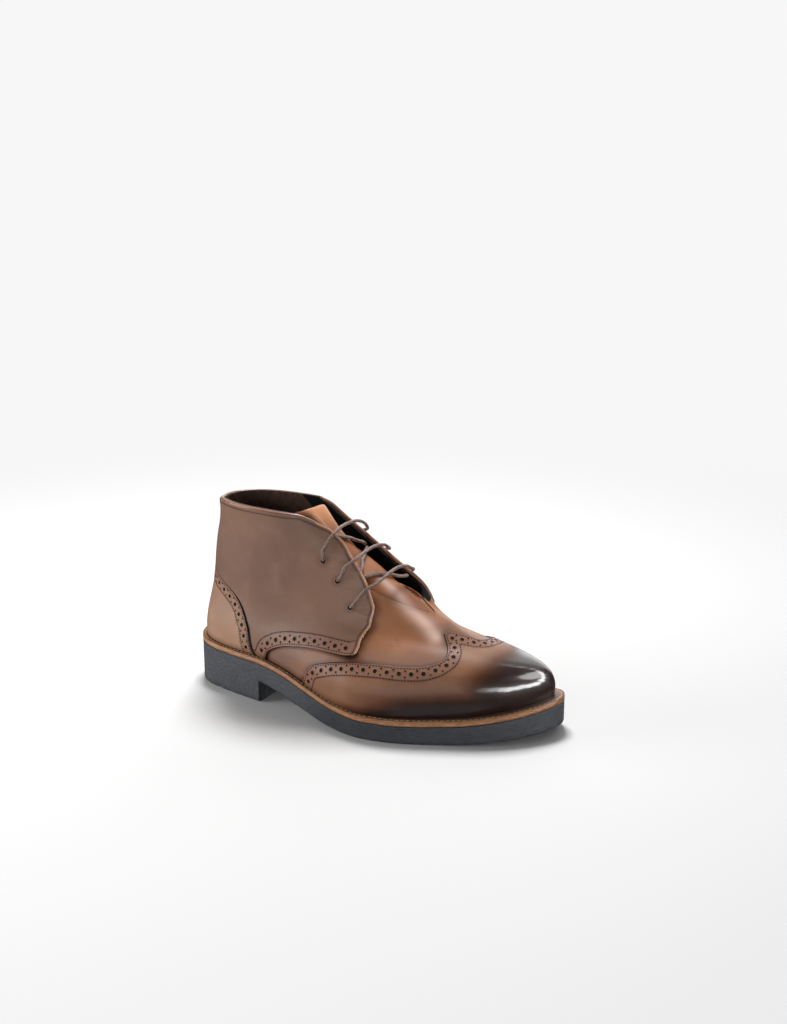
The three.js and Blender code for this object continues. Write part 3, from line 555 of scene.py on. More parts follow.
class Shader:
    """A material's nodes, by short calls."""

    def __init__(self, name):
        self.material = bpy.data.materials.new(name)
        self.material.use_nodes = True
        self.tree = self.material.node_tree
        self.tree.nodes.clear()
        self.output = self.node("ShaderNodeOutputMaterial")
        self.surface = self.node("ShaderNodeBsdfPrincipled")
        self.tree.links.new(self.surface.outputs[0], self.output.inputs["Surface"])
        self.coords = self.node("ShaderNodeTexCoord").outputs["Object"]

    def node(self, kind, **values):
        node = self.tree.nodes.new(kind)
        for key, value in values.items():
            setattr(node, key, value)
        return node

    def put(self, socket, value):
        if hasattr(value, "is_linked"):
            self.tree.links.new(value, socket)
        else:
            socket.default_value = value

    def stretch(self, scale):
        mapping = self.node("ShaderNodeMapping")
        self.put(mapping.inputs["Vector"], self.coords)
        mapping.inputs["Scale"].default_value = scale
        return mapping.outputs[0]

    def noise(self, scale, detail=3.0, rough=0.5, vector=None, distortion=0.0):
        node = self.node("ShaderNodeTexNoise")
        self.put(node.inputs["Vector"], vector or self.coords)
        node.inputs["Scale"].default_value = scale
        node.inputs["Detail"].default_value = detail
        node.inputs["Roughness"].default_value = rough
        node.inputs["Distortion"].default_value = distortion
        return node.outputs["Fac"]

    def cells(self, scale, vector=None, feature="F1", output="Distance"):
        node = self.node("ShaderNodeTexVoronoi", feature=feature)
        self.put(node.inputs["Vector"], vector or self.coords)
        node.inputs["Scale"].default_value = scale
        return node.outputs[output]

    def value(self, name):
        return self.node("ShaderNodeAttribute", attribute_name=name).outputs["Fac"]

    def span(self, value, low, high, to_low=0.0, to_high=1.0, smooth=True):
        node = self.node("ShaderNodeMapRange", interpolation_type="SMOOTHSTEP" if smooth else "LINEAR")
        self.put(node.inputs["Value"], value)
        for key, number in (("From Min", low), ("From Max", high), ("To Min", to_low), ("To Max", to_high)):
            node.inputs[key].default_value = number
        return node.outputs["Result"]

    def math(self, operation, a, b=0.0):
        node = self.node("ShaderNodeMath", operation=operation)
        self.put(node.inputs[0], a)
        self.put(node.inputs[1], b)
        return node.outputs[0]

    def mix(self, share, a, b):
        node = self.node("ShaderNodeMix", data_type="RGBA")
        self.put(node.inputs["Factor"], share)
        self.put(node.inputs["A"] if False else node.inputs[6], a)
        self.put(node.inputs[7], b)
        return node.outputs[2]

    def bump(self, height, distance, strength=1.0, normal=None):
        node = self.node("ShaderNodeBump")
        self.put(node.inputs["Height"], height)
        node.inputs["Distance"].default_value = distance
        node.inputs["Strength"].default_value = strength
        if normal is not None:
            self.put(node.inputs["Normal"], normal)
        return node.outputs[0]

    def finish(self, **sockets):
        for key, value in sockets.items():
            self.put(self.surface.inputs[key.replace("_", " ")], value)
        return self.material


def rgb(red, green, blue):
    """Linear colour with alpha from a photo-like colour of 0 to 255."""
    return tuple((c / 255 / 12.92 if c < 10.3 else ((c / 255 + 0.055) / 1.055) ** 2.4) for c in (red, green, blue)) + (1.0,)


# Dark of seams and cut edges, also used for painted shade along a crease and beside panel edges.
SEAM_AND_SHADE_DARK = rgb(30, 20, 19)
# First step of both the toe's burnish and the painted shade.
BURNISH_AND_SHADE_BROWN = rgb(92, 56, 38)


def leather(name, main, light, dark, burnish_and_shade_dark=None, band=None, tone=None, sheen_colour=None, rough=0.42, coat=0.2,
            shine=0.2):
    """Smooth finished leather: mottled colour, fine pores, and where attributes say a second tone, a lighter band, a
    painted highlight streak, burnish mixed with painted shade, and dark edges with some painted shade.
    """
    s = Shader(name)
    cloud = s.noise(13, 3, 0.5)
    wisps = s.noise(46, 4, 0.55)
    speck = s.noise(190, 4, 0.6)
    colour = s.mix(s.math("MULTIPLY", s.span(cloud, 0.38, 0.68), 0.8), main, dark)
    colour = s.mix(s.math("MULTIPLY", s.span(wisps, 0.45, 0.75), 0.4), colour, light)
    colour = s.mix(s.math("MULTIPLY", s.span(speck, 0.48, 0.75), 0.12), colour, dark)
    if tone is not None:
        colour = s.mix(s.math("MULTIPLY", s.value("tone"), 0.9), colour, tone)
    if band is not None:
        mask = s.math("MULTIPLY", s.span(s.value("band"), 0.4, 0.6), 0.85)
        colour = s.mix(mask, colour, band)
    # Painted highlight: a lighter colour along the sheen streak.
    if sheen_colour is not None:
        colour = s.mix(s.math("MULTIPLY", s.value("painted_sheen"), 0.72), colour, sheen_colour)
    # Burnish on the toe, mixed with painted shade beside panel edges, round the lace holes and at the tongue's sides,
    # in two steps of darker brown.
    if burnish_and_shade_dark is not None:
        uneven = s.math("MULTIPLY", s.math("SUBTRACT", wisps, 0.5), 0.25)
        depth = s.math("ADD", s.value("burnish_and_shade"), uneven)
        colour = s.mix(s.span(depth, 0.06, 0.62), colour, BURNISH_AND_SHADE_BROWN)
        colour = s.mix(s.span(depth, 0.4, 1.0), colour, burnish_and_shade_dark)
    # Dark seams and cut edges, with some painted shade where the edge attribute says.
    colour = s.mix(s.value("edge"), colour, SEAM_AND_SHADE_DARK)
    pores = s.cells(1500)
    grain = s.noise(420, 5, 0.6)
    waves = s.noise(70, 3, 0.5)
    normal = s.bump(waves, 0.0004, 0.3)
    normal = s.bump(grain, 0.0002, 0.22, normal)
    normal = s.bump(pores, 0.00008, 0.2, normal)
    roughness = s.span(speck, 0.3, 0.75, rough - 0.05, rough + 0.08)
    varnish = s.span(s.value("burnish_and_shade"), 0.55, 1.0, coat, shine)
    return s.finish(Base_Color=colour, Roughness=roughness, Normal=normal, Coat_Weight=varnish,
                    Coat_Roughness=0.1, Specular_IOR_Level=0.22)


def plain(name, colour, other, rough, scale=300, depth=0.0001, sheen=0.0):
    s = Shader(name)
    pattern = s.noise(scale, 4, 0.6)
    return s.finish(Base_Color=s.mix(s.span(pattern, 0.35, 0.7), colour, other), Roughness=rough,
                    Normal=s.bump(pattern, depth, 0.5), Sheen_Weight=sheen, Specular_IOR_Level=0.12)


# The sheen colours of the vamp and tongue leathers are painted highlights.
vamp_leather = leather("vamp_leather", rgb(152, 102, 70), rgb(178, 124, 88), rgb(132, 88, 64), rgb(40, 18, 12),
                       tone=rgb(116, 90, 79), sheen_colour=rgb(226, 192, 178), rough=0.42, coat=0.0, shine=0.05)
cap_leather = leather("cap_leather", rgb(136, 96, 72), rgb(158, 116, 90), rgb(116, 80, 60), rgb(30, 12, 9),
                      rgb(130, 94, 78), tone=rgb(116, 86, 70), rough=0.36, coat=0.02, shine=1.0)
quarter_leather = leather("quarter_leather", rgb(122, 92, 76), rgb(136, 106, 88), rgb(106, 80, 68), rgb(46, 28, 22),
                          rgb(130, 94, 79), rough=0.42, coat=0.03, shine=0.03)
counter_leather = leather("counter_leather", rgb(156, 120, 98), rgb(172, 136, 112), rgb(136, 102, 82), rgb(60, 36, 28),
                          rgb(138, 102, 82), rough=0.4, coat=0.1, shine=0.1)
# The tongue leather's tone is a painted highlight on the tongue's top.
tongue_leather = leather("tongue_leather", rgb(146, 92, 60), rgb(172, 114, 76), rgb(122, 78, 54), rgb(34, 16, 12),
                         tone=rgb(214, 150, 108), sheen_colour=rgb(222, 190, 176), rough=0.38, coat=0.05,
                         shine=0.05)
piping_leather = leather("piping_leather", rgb(132, 90, 70), rgb(152, 108, 86), rgb(104, 68, 54), rough=0.36, coat=0.5)
# A lighter copy of the piping leather: painted highlight along the facings' rolled edges.
facing_piping_painted_highlight = leather("facing_piping_painted_highlight", rgb(178, 128, 98), rgb(204, 156, 126), rgb(140, 94, 70), rough=0.34, coat=0.5)
lining_leather = plain("lining_leather", rgb(80, 60, 52), rgb(62, 45, 39), 0.6)
facing_lining = plain("facing_lining", rgb(10, 9, 9), rgb(6, 6, 6), 0.7)
thread_dark = plain("thread_dark", rgb(44, 32, 28), rgb(28, 20, 18), 0.7, 900)
thread_cream = plain("thread_cream", rgb(206, 178, 132), rgb(176, 146, 104), 0.7, 900)
# Painted shade inside the punched holes and lace holes.
painted_hole_shade = plain("painted_hole_shade", rgb(24, 16, 14), rgb(14, 10, 10), 0.8)


def lace_material():
    s = Shader("lace_cord")
    twist = s.noise(900, 3, 0.6)
    colour = s.mix(s.span(twist, 0.35, 0.65), rgb(72, 53, 47), rgb(130, 101, 87))
    return s.finish(Base_Color=colour, Roughness=0.5, Normal=s.bump(twist, 0.0003, 0.6), Sheen_Weight=0.2)


def rubber_material():
    s = Shader("sole_rubber")
    flat = s.stretch((0.2, 0.2, 1.5))
    crumple = s.noise(900, 5, 0.65, s.stretch((0.55, 0.55, 1.0)), 0.5)
    dashes = s.noise(760, 2, 0.5, flat)
    axes = s.node("ShaderNodeSeparateXYZ")
    s.put(axes.inputs[0], s.coords)
    forepart = s.span(axes.outputs[0], -0.04, 0.0)
    colour = s.mix(s.span(crumple, 0.35, 0.7), rgb(46, 48, 53), rgb(80, 84, 90))
    # Darker forepart: partly painted shade where the forepart faces away from the light, partly its own darker rubber.
    colour = s.mix(s.math("MULTIPLY", forepart, 0.75), colour, rgb(32, 33, 38))
    lines = s.math("MULTIPLY", s.span(dashes, 0.56, 0.62), forepart)
    colour = s.mix(s.math("MULTIPLY", lines, 0.75), colour, rgb(18, 18, 22))
    colour = s.mix(s.value("edge"), colour, rgb(20, 21, 25))
    normal = s.bump(crumple, 0.0008, 0.8)
    normal = s.bump(dashes, 0.0005, 0.35, normal)
    normal = s.bump(s.cells(1300), 0.0003, 0.4, normal)
    return s.finish(Base_Color=colour, Roughness=s.span(crumple, 0.3, 0.7, 0.5, 0.75), Normal=normal)


def welt_material(name="welt_leather"):
    s = Shader(name)
    fibres = s.noise(600, 4, 0.6, s.stretch((0.3, 0.3, 1.6)))
    cloud = s.noise(60, 3)
    colour = s.mix(s.span(fibres, 0.35, 0.7), rgb(164, 112, 68), rgb(128, 82, 50))
    colour = s.mix(s.math("MULTIPLY", s.span(cloud, 0.45, 0.75), 0.4), colour, rgb(182, 130, 84))
    colour = s.mix(s.value("edge"), colour, rgb(58, 36, 26))
    return s.finish(Base_Color=colour, Roughness=0.5, Normal=s.bump(fibres, 0.0002, 0.5), Coat_Weight=0.1)


lace_cord = lace_material()
sole_rubber = rubber_material()
welt_leather = welt_material()
rib_leather = plain("rib_leather", rgb(148, 110, 82), rgb(118, 82, 58), 0.5)


# Upper with its throat

def front_edge(name, level):
    return column(QUARTER, "level", name, level)


def counter_reach(level):
    return column(COUNTER, "level", "reach", level)


def throat_edges(level):
    """Turns of the throat's two edges: the inner side's, and the outer side's a full turn on."""
    spread = np.sqrt(np.clip((level - THROAT_LOW) / THROAT_ROUND, 0, 1))
    return 1 + front_edge("medial", level) * spread, 3 - front_edge("lateral", level) * spread


def darkening_by_height(points, reach=14.0):
    """Darkening just above the welt."""
    height = points[..., 2] - welt_top(points[..., 0])
    return 1 - smooth_step(height, 0.0, reach)


def inner_sink(turn, level):
    """How far the tongue and the vamp's end under it sink beside the inner facing, in millimetres."""
    turn = np.mod(turn, 2)
    return 6.0 * np.exp(-((level - 0.75) / 0.048) ** 2) * smooth_step(turn, 0.97, 1.1) * (turn < 1.6)


def upper_piece():
    level_rows = np.unique(np.concatenate([np.linspace(0, 1, 110), np.linspace(0.68, 0.745, 26), [0.003, 0.994, 0.998]]))
    u = places(300, 0.006)
    level = np.broadcast_to(level_rows, (len(u), len(level_rows))).copy()
    start, end = throat_edges(level)
    turn = start + (end - start) * u[:, None]
    base = last_point(turn, level)
    first, last, low, high = edge_distances(base)
    open_throat = level > THROAT_LOW
    near_throat = np.where(open_throat, np.minimum(first, last), 99)
    kept = round_edge([near_throat, high], 1.1, WALL)
    outer = -WALL + kept + creases(turn, level)
    low_arc = np.linspace(THROAT_LOW, THROAT_LOW + 0.8 * THROAT_ROUND, 60)
    start_arc, end_arc = throat_edges(low_arc)
    arc = last_point(np.concatenate([start_arc, end_arc]), np.concatenate([low_arc, low_arc]))
    dip = 1 - smooth_step(distance_to(base, arc), 0.0, 15.0)
    dip = dip * (1 - smooth_step(np.mod(turn, 2), 1.12, 1.16) * (np.mod(turn, 2) < 1.8))
    outer = np.minimum(outer, 0.1) * (1 - dip) - dip * (WALL + TONGUE_GAP - 0.35 + inner_sink(turn, level))
    points = offset_point(turn, level, outer)
    # Painted highlight along the sheen streak.
    painted_sheen = halo(base, SHEEN, 5.5)
    # Darker just above the welt; painted shade beside the outer facing's lower edge, above the wing's edge and under
    # both quarters' lower front edges.
    burnish_and_shade = 0.4 * darkening_by_height(points, 8) + 0.5 * halo(base, near_facing(), 7.0) + 0.35 * halo(base, wing_decor(), 3.5)
    burnish_and_shade += 0.7 * halo(base, quarter_decor(-1), 2.2) + 0.7 * halo(base, quarter_decor(1), 2.2)
    # Painted shade along the small crease on the vamp's side.
    edge = 0.1 * small_crease(base)
    inner = np.minimum(-WALL, outer - 0.25)
    tone = np.maximum(1 - smooth_step(base[..., 0], 95, 165), 0.8 * halo(base, wing_decor(), 13.0))
    dark = (np.mod(turn, 2) > 1) & (np.mod(turn, 2) < 1.475) & (level > 0.6)
    columns, rows = turn.shape
    piece = closed_patch("upper_vamp", turn, level, inner, outer, [vamp_leather, lining_leather, facing_lining],
                         {"burnish_and_shade": burnish_and_shade, "edge": edge, "tone": tone, "painted_sheen": painted_sheen}, inner_slot=1, weld=0.00002)
    count = (columns - 1) * (rows - 1)
    inside = np.where(dark[:-1, :-1], 2, 1).ravel()
    inner_facing = (np.mod(turn, 2) > 1.12) & (np.mod(turn, 2) < 1.475) & (near_throat < 3)
    # The fold beside the inner facing's flare is painted near black on its outer faces: painted shade in the fold.
    inner_facing |= (np.mod(turn, 2) > 1.12) & (np.mod(turn, 2) < 1.17) & (level > 0.69) & (level < 0.76)
    near_rim = (((np.minimum(near_throat, high) < 1.15) & (dip < 0.2)) | inner_facing)[:-1, :-1].ravel()
    rim_slots = [inside.reshape(columns - 1, rows - 1)[i] for i in (0, -1)]
    slots = np.ones(len(piece.data.polygons), np.int32)
    slots[:count] = np.where(near_rim, inside, 0)
    slots[count:2 * count] = inside
    slots[2 * count + columns - 1:2 * count + columns + rows - 2] = rim_slots[1]
    slots[-(rows - 1):] = rim_slots[0][::-1]
    piece.data.polygons.foreach_set("material_index", slots)
    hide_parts("upper")
    return piece


def creases(turn, level):
    """Soft troughs and ridges of the vamp, in millimetres."""
    place = last_point(turn, level)
    flex = np.zeros_like(level)
    for at, depth, width in ((190.0, -0.3, 3.0), (198.0, 0.2, 5.0), (178.0, -0.2, 6.0)):
        flex += depth * np.exp(-((place[..., 0] - at + 0.15 * place[..., 1]) / width) ** 2)
    window = np.exp(-((level - 0.45) / 0.12) ** 2) * (np.mod(turn, 2) < 1.25) * (np.mod(turn, 2) > 0.45)
    return 0.5 * flex * window - 0.45 * small_crease(place)


def small_crease(place):
    """The short upright crease at the side of the vamp, 1 along its middle."""
    low, high = last_point(np.array([0.64, 0.655]), np.array([0.404, 0.463]))
    line = high - low
    share = np.clip(((place - low) @ line) / (line @ line), 0, 1)
    away = np.linalg.norm(place - low - share[..., None] * line, axis=-1)
    return np.exp(-(away / 0.8) ** 2)


def halo(place, curve, reach):
    """Soft shade along a seam, 1 on it and fading over the reach."""
    return np.exp(-(distance_to(place, last_point(*resample(*curve, 1.0))) / reach) ** 2)


# Painted highlight: a light streak from the tongue down the vamp, standing in for a reflection, as turns and levels
SHEEN = (np.array([0.845, 0.843, 0.847, 0.83, 0.828, 0.833, 0.823, 0.802]),
         np.array([0.79, 0.765, 0.745, 0.713, 0.683, 0.655, 0.608, 0.548]))


def near_facing():
    """Lower half of the outer facing's edge."""
    level = np.linspace(0.287, 0.67, 90)
    return 1 - front_edge("lateral", level), level


# Panels over the upper

def rows_patch(from_turn, to_turn, level_rows, columns, edge=0.01):
    u = places(columns, edge)
    level = np.broadcast_to(level_rows, (len(u), len(level_rows))).copy()
    start, end = from_turn(level), to_turn(level)
    return start + (end - start) * u[:, None], level


def panel_piece(name, node, turn, level, material, decor=None, band_width=10.0, round_sides=(0, 1, 3),
                lift=None, burnish_and_shade=None, trimmed=False, back_side=None):
    """A panel with round edges. decor is the curve of its punched edge, which has a lighter band."""
    base = last_point(turn, level)
    distances = edge_distances(base)
    thickness = PANEL if lift is None else PANEL + lift
    kept = round_edge([distances[i] for i in round_sides], 0.9, 1.0) * thickness
    outer = GAP + kept
    inner = np.full_like(level, 0.06)
    nearest = np.minimum.reduce([distances[i] for i in round_sides])
    edge = 1 - smooth_step(nearest, 0.5, 1.3)
    # A wider dark band along the back side: the dark cut edge, and painted shade beside it.
    if back_side is not None:
        edge = np.maximum(edge, 1 - smooth_step(distances[back_side], 1.1, 1.9))
    band = np.zeros_like(level)
    if decor is not None:
        away = distance_to(base, last_point(*resample(decor[0], decor[1], 0.5)))
        band = 1 - smooth_step(away, band_width - 0.3, band_width + 0.3)
        edge = np.maximum(edge, 0.45 * (1 - smooth_step(np.abs(away - band_width), 0.3, 1.1)))
    if trimmed:
        away = distance_to(base, last_point(*resample(*collar_curve(), 0.6)))
        edge = np.maximum(edge * smooth_step(away, 0.8, 2.0), 0.4 * (1 - smooth_step(np.abs(away - 1.9), 0.3, 1.0)))
    burnish_and_shade = np.zeros_like(level) if burnish_and_shade is None else burnish_and_shade
    tone = 1 - smooth_step(base[..., 0], 95, 175)
    piece = closed_patch(name, turn, level, inner, outer, [material],
                         {"burnish_and_shade": burnish_and_shade, "edge": edge, "band": band, "tone": tone})
    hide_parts(node)
    return piece


def back_edge(level):
    return counter_reach(level) + SEAM_WIDTH / BALL_WIDTH * 0.25


quarter_levels = np.unique(np.concatenate([np.linspace(0, 0.99, 150), np.linspace(0.2, 0.3, 40), [0.003, 0.985, 0.9875]]))


def quarter_decor(side):
    """Lower front edge of a quarter, from the welt to the corner under the facing."""
    level = np.linspace(0.0, 0.287, 90)
    front = front_edge("lateral" if side < 0 else "medial", level)
    return (1 - front if side < 0 else 1 + front), level


def hole_fold_shade(turn, level):
    """Painted shade round the near lace holes, where the leather is pulled into folds."""
    shade = np.zeros_like(level)
    for place in NEAR_HOLES:
        away = np.linalg.norm(last_point(turn, level) - last_point(*place), axis=-1)
        shade = np.maximum(shade, 0.5 * np.exp(-(away / 5.0) ** 2))
    return shade


def hole_relief(turn, level):
    """Soft folds that run from the lace holes to the facing's edge, in millimetres."""
    relief = np.zeros_like(level)
    place = last_point(turn, level)
    for k, hole in enumerate(NEAR_HOLES):
        centre = last_point(*hole)
        edge = last_point(1 - front_edge("lateral", np.float64(hole[1] + 0.03)), hole[1] + 0.03)
        axis = edge - centre
        length = np.linalg.norm(axis)
        axis = axis / length
        across = np.cross(last_normal(*hole), axis)
        along = (place - centre) @ axis
        aside = (place - centre) @ across
        window = smooth_step(along, -5, 3) * (1 - smooth_step(along, length, length + 6))
        spread = 2.2 + 0.28 * np.maximum(along, 0)
        relief += window * (0.34 * np.exp(-((aside - spread) / 1.5) ** 2) - 0.3 * np.exp(-(aside / 1.7) ** 2)
                            + 0.26 * np.exp(-((aside + spread) / 1.5) ** 2))
    return relief


def quarter_piece(side):
    name = "lateral" if side < 0 else "medial"
    if side < 0:
        turn, level = rows_patch(back_edge, lambda l: 1 - front_edge(name, l), quarter_levels, 110)
    else:
        turn, level = rows_patch(lambda l: 1 + front_edge(name, l), lambda l: 2 - back_edge(l), quarter_levels, 110)
    points = last_point(turn, level)
    burnish_and_shade = 0.45 * darkening_by_height(points, 8)
    # On the outer side, painted shade round the lace holes as well.
    if side < 0:
        burnish_and_shade = burnish_and_shade + hole_fold_shade(turn, level)
    return panel_piece("quarter_panel_" + name, "quarter_" + name, turn, level, quarter_leather,
                       quarter_decor(side), 11.0, burnish_and_shade=burnish_and_shade, round_sides=(0, 1),
                       lift=hole_relief(turn, level) if side < 0 else None, trimmed=True,
                       back_side=0 if side < 0 else 1)


def counter_piece():
    levels = np.unique(np.concatenate([np.linspace(0, 0.99, 110), np.linspace(0.4, 0.5, 30), [0.003]]))
    turn, level = rows_patch(lambda l: -counter_reach(l), counter_reach, levels, 90)
    points = last_point(turn, level)
    burnish_and_shade = 0.35 * darkening_by_height(points, 8)
    window = 1 - smooth_step(level, 0.49, 0.51)
    side = np.where(turn > 0, 1, -1)
    near, far = counter_decor(1), counter_decor(-1)
    decor = (np.concatenate([far[0][::-1], near[0]]), np.concatenate([far[1][::-1], near[1]]))
    base = last_point(turn, level)
    away = np.where(side > 0, distance_to(base, last_point(*near)), distance_to(base, last_point(*far)))
    piece = panel_piece("counter_panel", "heel_counter", turn, level, counter_leather,
                        None, burnish_and_shade=burnish_and_shade, round_sides=(0, 1), trimmed=True)
    band = (1 - smooth_step(away, 8.7, 9.3)) * window
    line = 0.45 * (1 - smooth_step(np.abs(away - 9.0), 0.3, 1.1)) * window
    doubled = np.concatenate([band.ravel(), band.ravel()])
    piece.data.attributes["band"].data.foreach_set("value", doubled.astype(np.float32))
    side_edge = 1 - smooth_step(np.minimum(*edge_distances(base)[:2]), 0.5, 1.3)
    collar_line = 0.4 * (1 - smooth_step(np.abs(distance_to(base, last_point(*resample(*collar_curve(), 0.6))) - 1.9),
                                         0.3, 1.0))
    edge = np.maximum(np.maximum(side_edge, line), collar_line)
    doubled = np.concatenate([edge.ravel(), edge.ravel()])
    piece.data.attributes["edge"].data.foreach_set("value", doubled.astype(np.float32))
    return piece


def counter_decor(side):
    """Front edge of the counter, from the welt up to where it turns into the back strip."""
    level = np.concatenate([np.linspace(0.0, 0.4, 60), np.linspace(0.402, 0.49, 60)])
    turn, level = resample(side * counter_reach(level), level, 0.5)
    return turn, level


def wing_top(turn):
    return column(WING, "turn", "level", turn)


def wing_decor():
    turn = np.linspace(WING["turn"][0], WING["turn"][-1], 700)
    return resample(turn, wing_top(turn), 0.5)


def wing_piece():
    base = np.linspace(WING["turn"][0], WING["turn"][-1], 230)
    tails = np.concatenate([np.linspace(0.438, 0.5, 40), np.linspace(1.5, 1.562, 40)])
    u = np.unique(np.concatenate([base, tails]))
    v = places(60, 0.02)
    turn = np.broadcast_to(u[:, None], (len(u), len(v))).copy()
    level = wing_top(u)[:, None] * v[None, :]
    points = last_point(turn, level)
    burnish_and_shade = toe_burn(points) + 0.4 * darkening_by_height(points, 9)
    return panel_piece("wing_panel", "wing_cap", turn, level, cap_leather, wing_decor(), 10.0,
                       burnish_and_shade=np.minimum(burnish_and_shade, 1.3), round_sides=(0, 1, 3))


def toe_burn(points):
    """Burnished toe, near black at the tip; and darker low along the welt before it."""
    x, height = points[..., 0], points[..., 2] - welt_top(points[..., 0])
    forward = smooth_step(x + 0.25 * np.abs(points[..., 1] - 8) - 0.3 * height, 230, 275)
    low = (1 - smooth_step(height, 3, 33)) * smooth_step(x, 140, 225)
    return np.maximum(1.15 * forward, 1.1 * low)


# Tongue

def tongue_piece():
    u, v = places(70, 0.02), places(110, 0.01)
    low, high = TONGUE["level"][0], TONGUE_END
    a = u[:, None]
    level = low + (high - END_ROUND * (2 * a - 1) ** 2 - low) * v[None, :]
    value = lambda name: column(TONGUE, "level", name, level)
    start, end = 1 - value("lateral"), 1 + value("medial")
    turn = start + (end - start) * a
    depth = value("drop") + value("curl") * (2 * a - 1) ** 2
    base = last_point(turn, level)
    distances = edge_distances(base)
    kept = round_edge([distances[0], distances[1], distances[3]], 2.2, TONGUE_THICKNESS)
    inner = -WALL - TONGUE_GAP - depth * BALL_WIDTH - TONGUE_THICKNESS - inner_sink(turn, level)
    outer = inner + kept
    rim = 1 - smooth_step(np.minimum.reduce([distances[0], distances[1], distances[3]]), 0.6, 1.6)
    # Painted shade towards both sides, where the tongue goes under the facings.
    burnish_and_shade = 0.35 * smooth_step(np.abs(2 * a - 1), 0.6, 1.0) + 0 * v[None, :]
    # Painted highlight: the tongue's top, on its outer half, is mixed towards a lighter tone.
    tone = smooth_step(v[None, :] + 0 * a, 0.82, 1.0) * (1 - smooth_step(a, 0.55, 0.85))
    # The tongue carries the same painted highlight streak as the vamp.
    piece = closed_patch("tongue_panel", turn, level, inner, outer, [tongue_leather],
                         {"burnish_and_shade": burnish_and_shade, "edge": 0.7 * rim, "tone": tone, "painted_sheen": 0.8 * halo(base, SHEEN, 5.5)})
    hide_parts("tongue")
    return piece


# Laces

LACE_RADIUS = 1.27
NEAR_HOLES = [(0.63, 0.812), (0.625, 0.738), (0.605, 0.617)]
FAR_HOLES = [(1.388, 0.812), (1.368, 0.742), (1.338, 0.672)]
# Strands between the facings: places on the tongue as (turn, level, height over it)
STRANDS = [
    [(0.84, 0.962, 1.3), (0.9, 0.957, 1.5), (0.964, 0.949, 1.6), (1.03, 0.938, 1.7), (1.09, 0.918, 3.5),
     (1.16, 0.892, 6.0), (1.24, 0.862, 6.0)],
    [(0.70, 0.775, 1.3), (0.754, 0.803, 1.5), (0.84, 0.845, 1.6), (0.928, 0.874, 1.7), (1.0, 0.885, 1.8),
     (1.08, 0.888, 2.6), (1.17, 0.875, 5.0)],
    [(0.65, 0.742, 1.3), (0.7, 0.762, 1.5), (0.746, 0.781, 1.6), (0.842, 0.813, 1.6), (0.92, 0.825, 1.6),
     (0.99, 0.823, 1.7), (1.07, 0.8, 2.2), (1.15, 0.772, 4.0), (1.23, 0.748, 4.0)]]


def twist(length, angle):
    return 1 + 0.03 * np.sin(length * 5.2 + angle * 2) + 0.02 * np.sin(length * 1.3)


def lace_piece(bar):
    rows = np.array(LACES[bar])
    near, far = NEAR_HOLES[bar - 1], FAR_HOLES[bar - 1]
    start = [(*near, -0.5), (near[0] + 0.002, near[1] + 0.003, 0.35),
             ((near[0] + rows[1, 0]) / 2, (near[1] + rows[1, 1]) / 2, 1.12)]
    end = [((far[0] + rows[-2, 0]) / 2, (far[1] + rows[-2, 1]) / 2, 1.12), (far[0] - 0.002, far[1] + 0.003, 0.35),
           (*far, -0.5)]
    path = np.concatenate([start, rows[1:-1], end])
    points = smooth_path(offset_point(path[:, 0], path[:, 1], path[:, 2] * LACE_DIAMETER), 170)
    piece = tube("lace_cord_%d" % bar, points, LACE_RADIUS, [lace_cord], 16, wave=twist)
    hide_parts("lace_bar_%d" % bar)


def strand_piece(number):
    rows = np.array(STRANDS[number])
    drop = column(TONGUE, "level", "drop", rows[:, 1]) * BALL_WIDTH
    depth = rows[:, 2] - WALL - TONGUE_GAP - drop
    points = smooth_path(offset_point(rows[:, 0], rows[:, 1], depth), 110)
    piece = tube("lace_under_%d" % (number + 1), points, LACE_RADIUS, [lace_cord], 16, wave=twist)


def eyelets():
    """Punched lace holes in both facings."""
    places = np.array(NEAR_HOLES + FAR_HOLES)
    point = offset_point(places[:, 0], places[:, 1], np.full(len(places), SURFACE + 0.04))
    out = last_normal(places[:, 0], places[:, 1])
    along = np.cross(out, [0.2, 0.1, 1.0])
    along /= np.linalg.norm(along, axis=1, keepdims=True)
    points, faces, slots = hole_template(2.15, 0.25)
    scatter("lace_holes", points, faces, (point, along, np.cross(out, along), out), [painted_hole_shade, quarter_leather],
            slots)


# Sole, welt and insole

def outline_loop(count):
    """Angles and sides once round the sole, closer together at the heel's breast."""
    angles = np.linspace(0, math.pi, count)
    breast = math.acos(1 - 2 * HEEL_BREAST / SOLE_LENGTH)
    angles = np.unique(np.concatenate([angles, [breast - 0.0006, breast + 0.0006]]))
    sides = np.concatenate([-np.ones(len(angles)), np.ones(len(angles) - 2)])
    return np.concatenate([angles, angles[-2:0:-1]]), sides, len(angles)


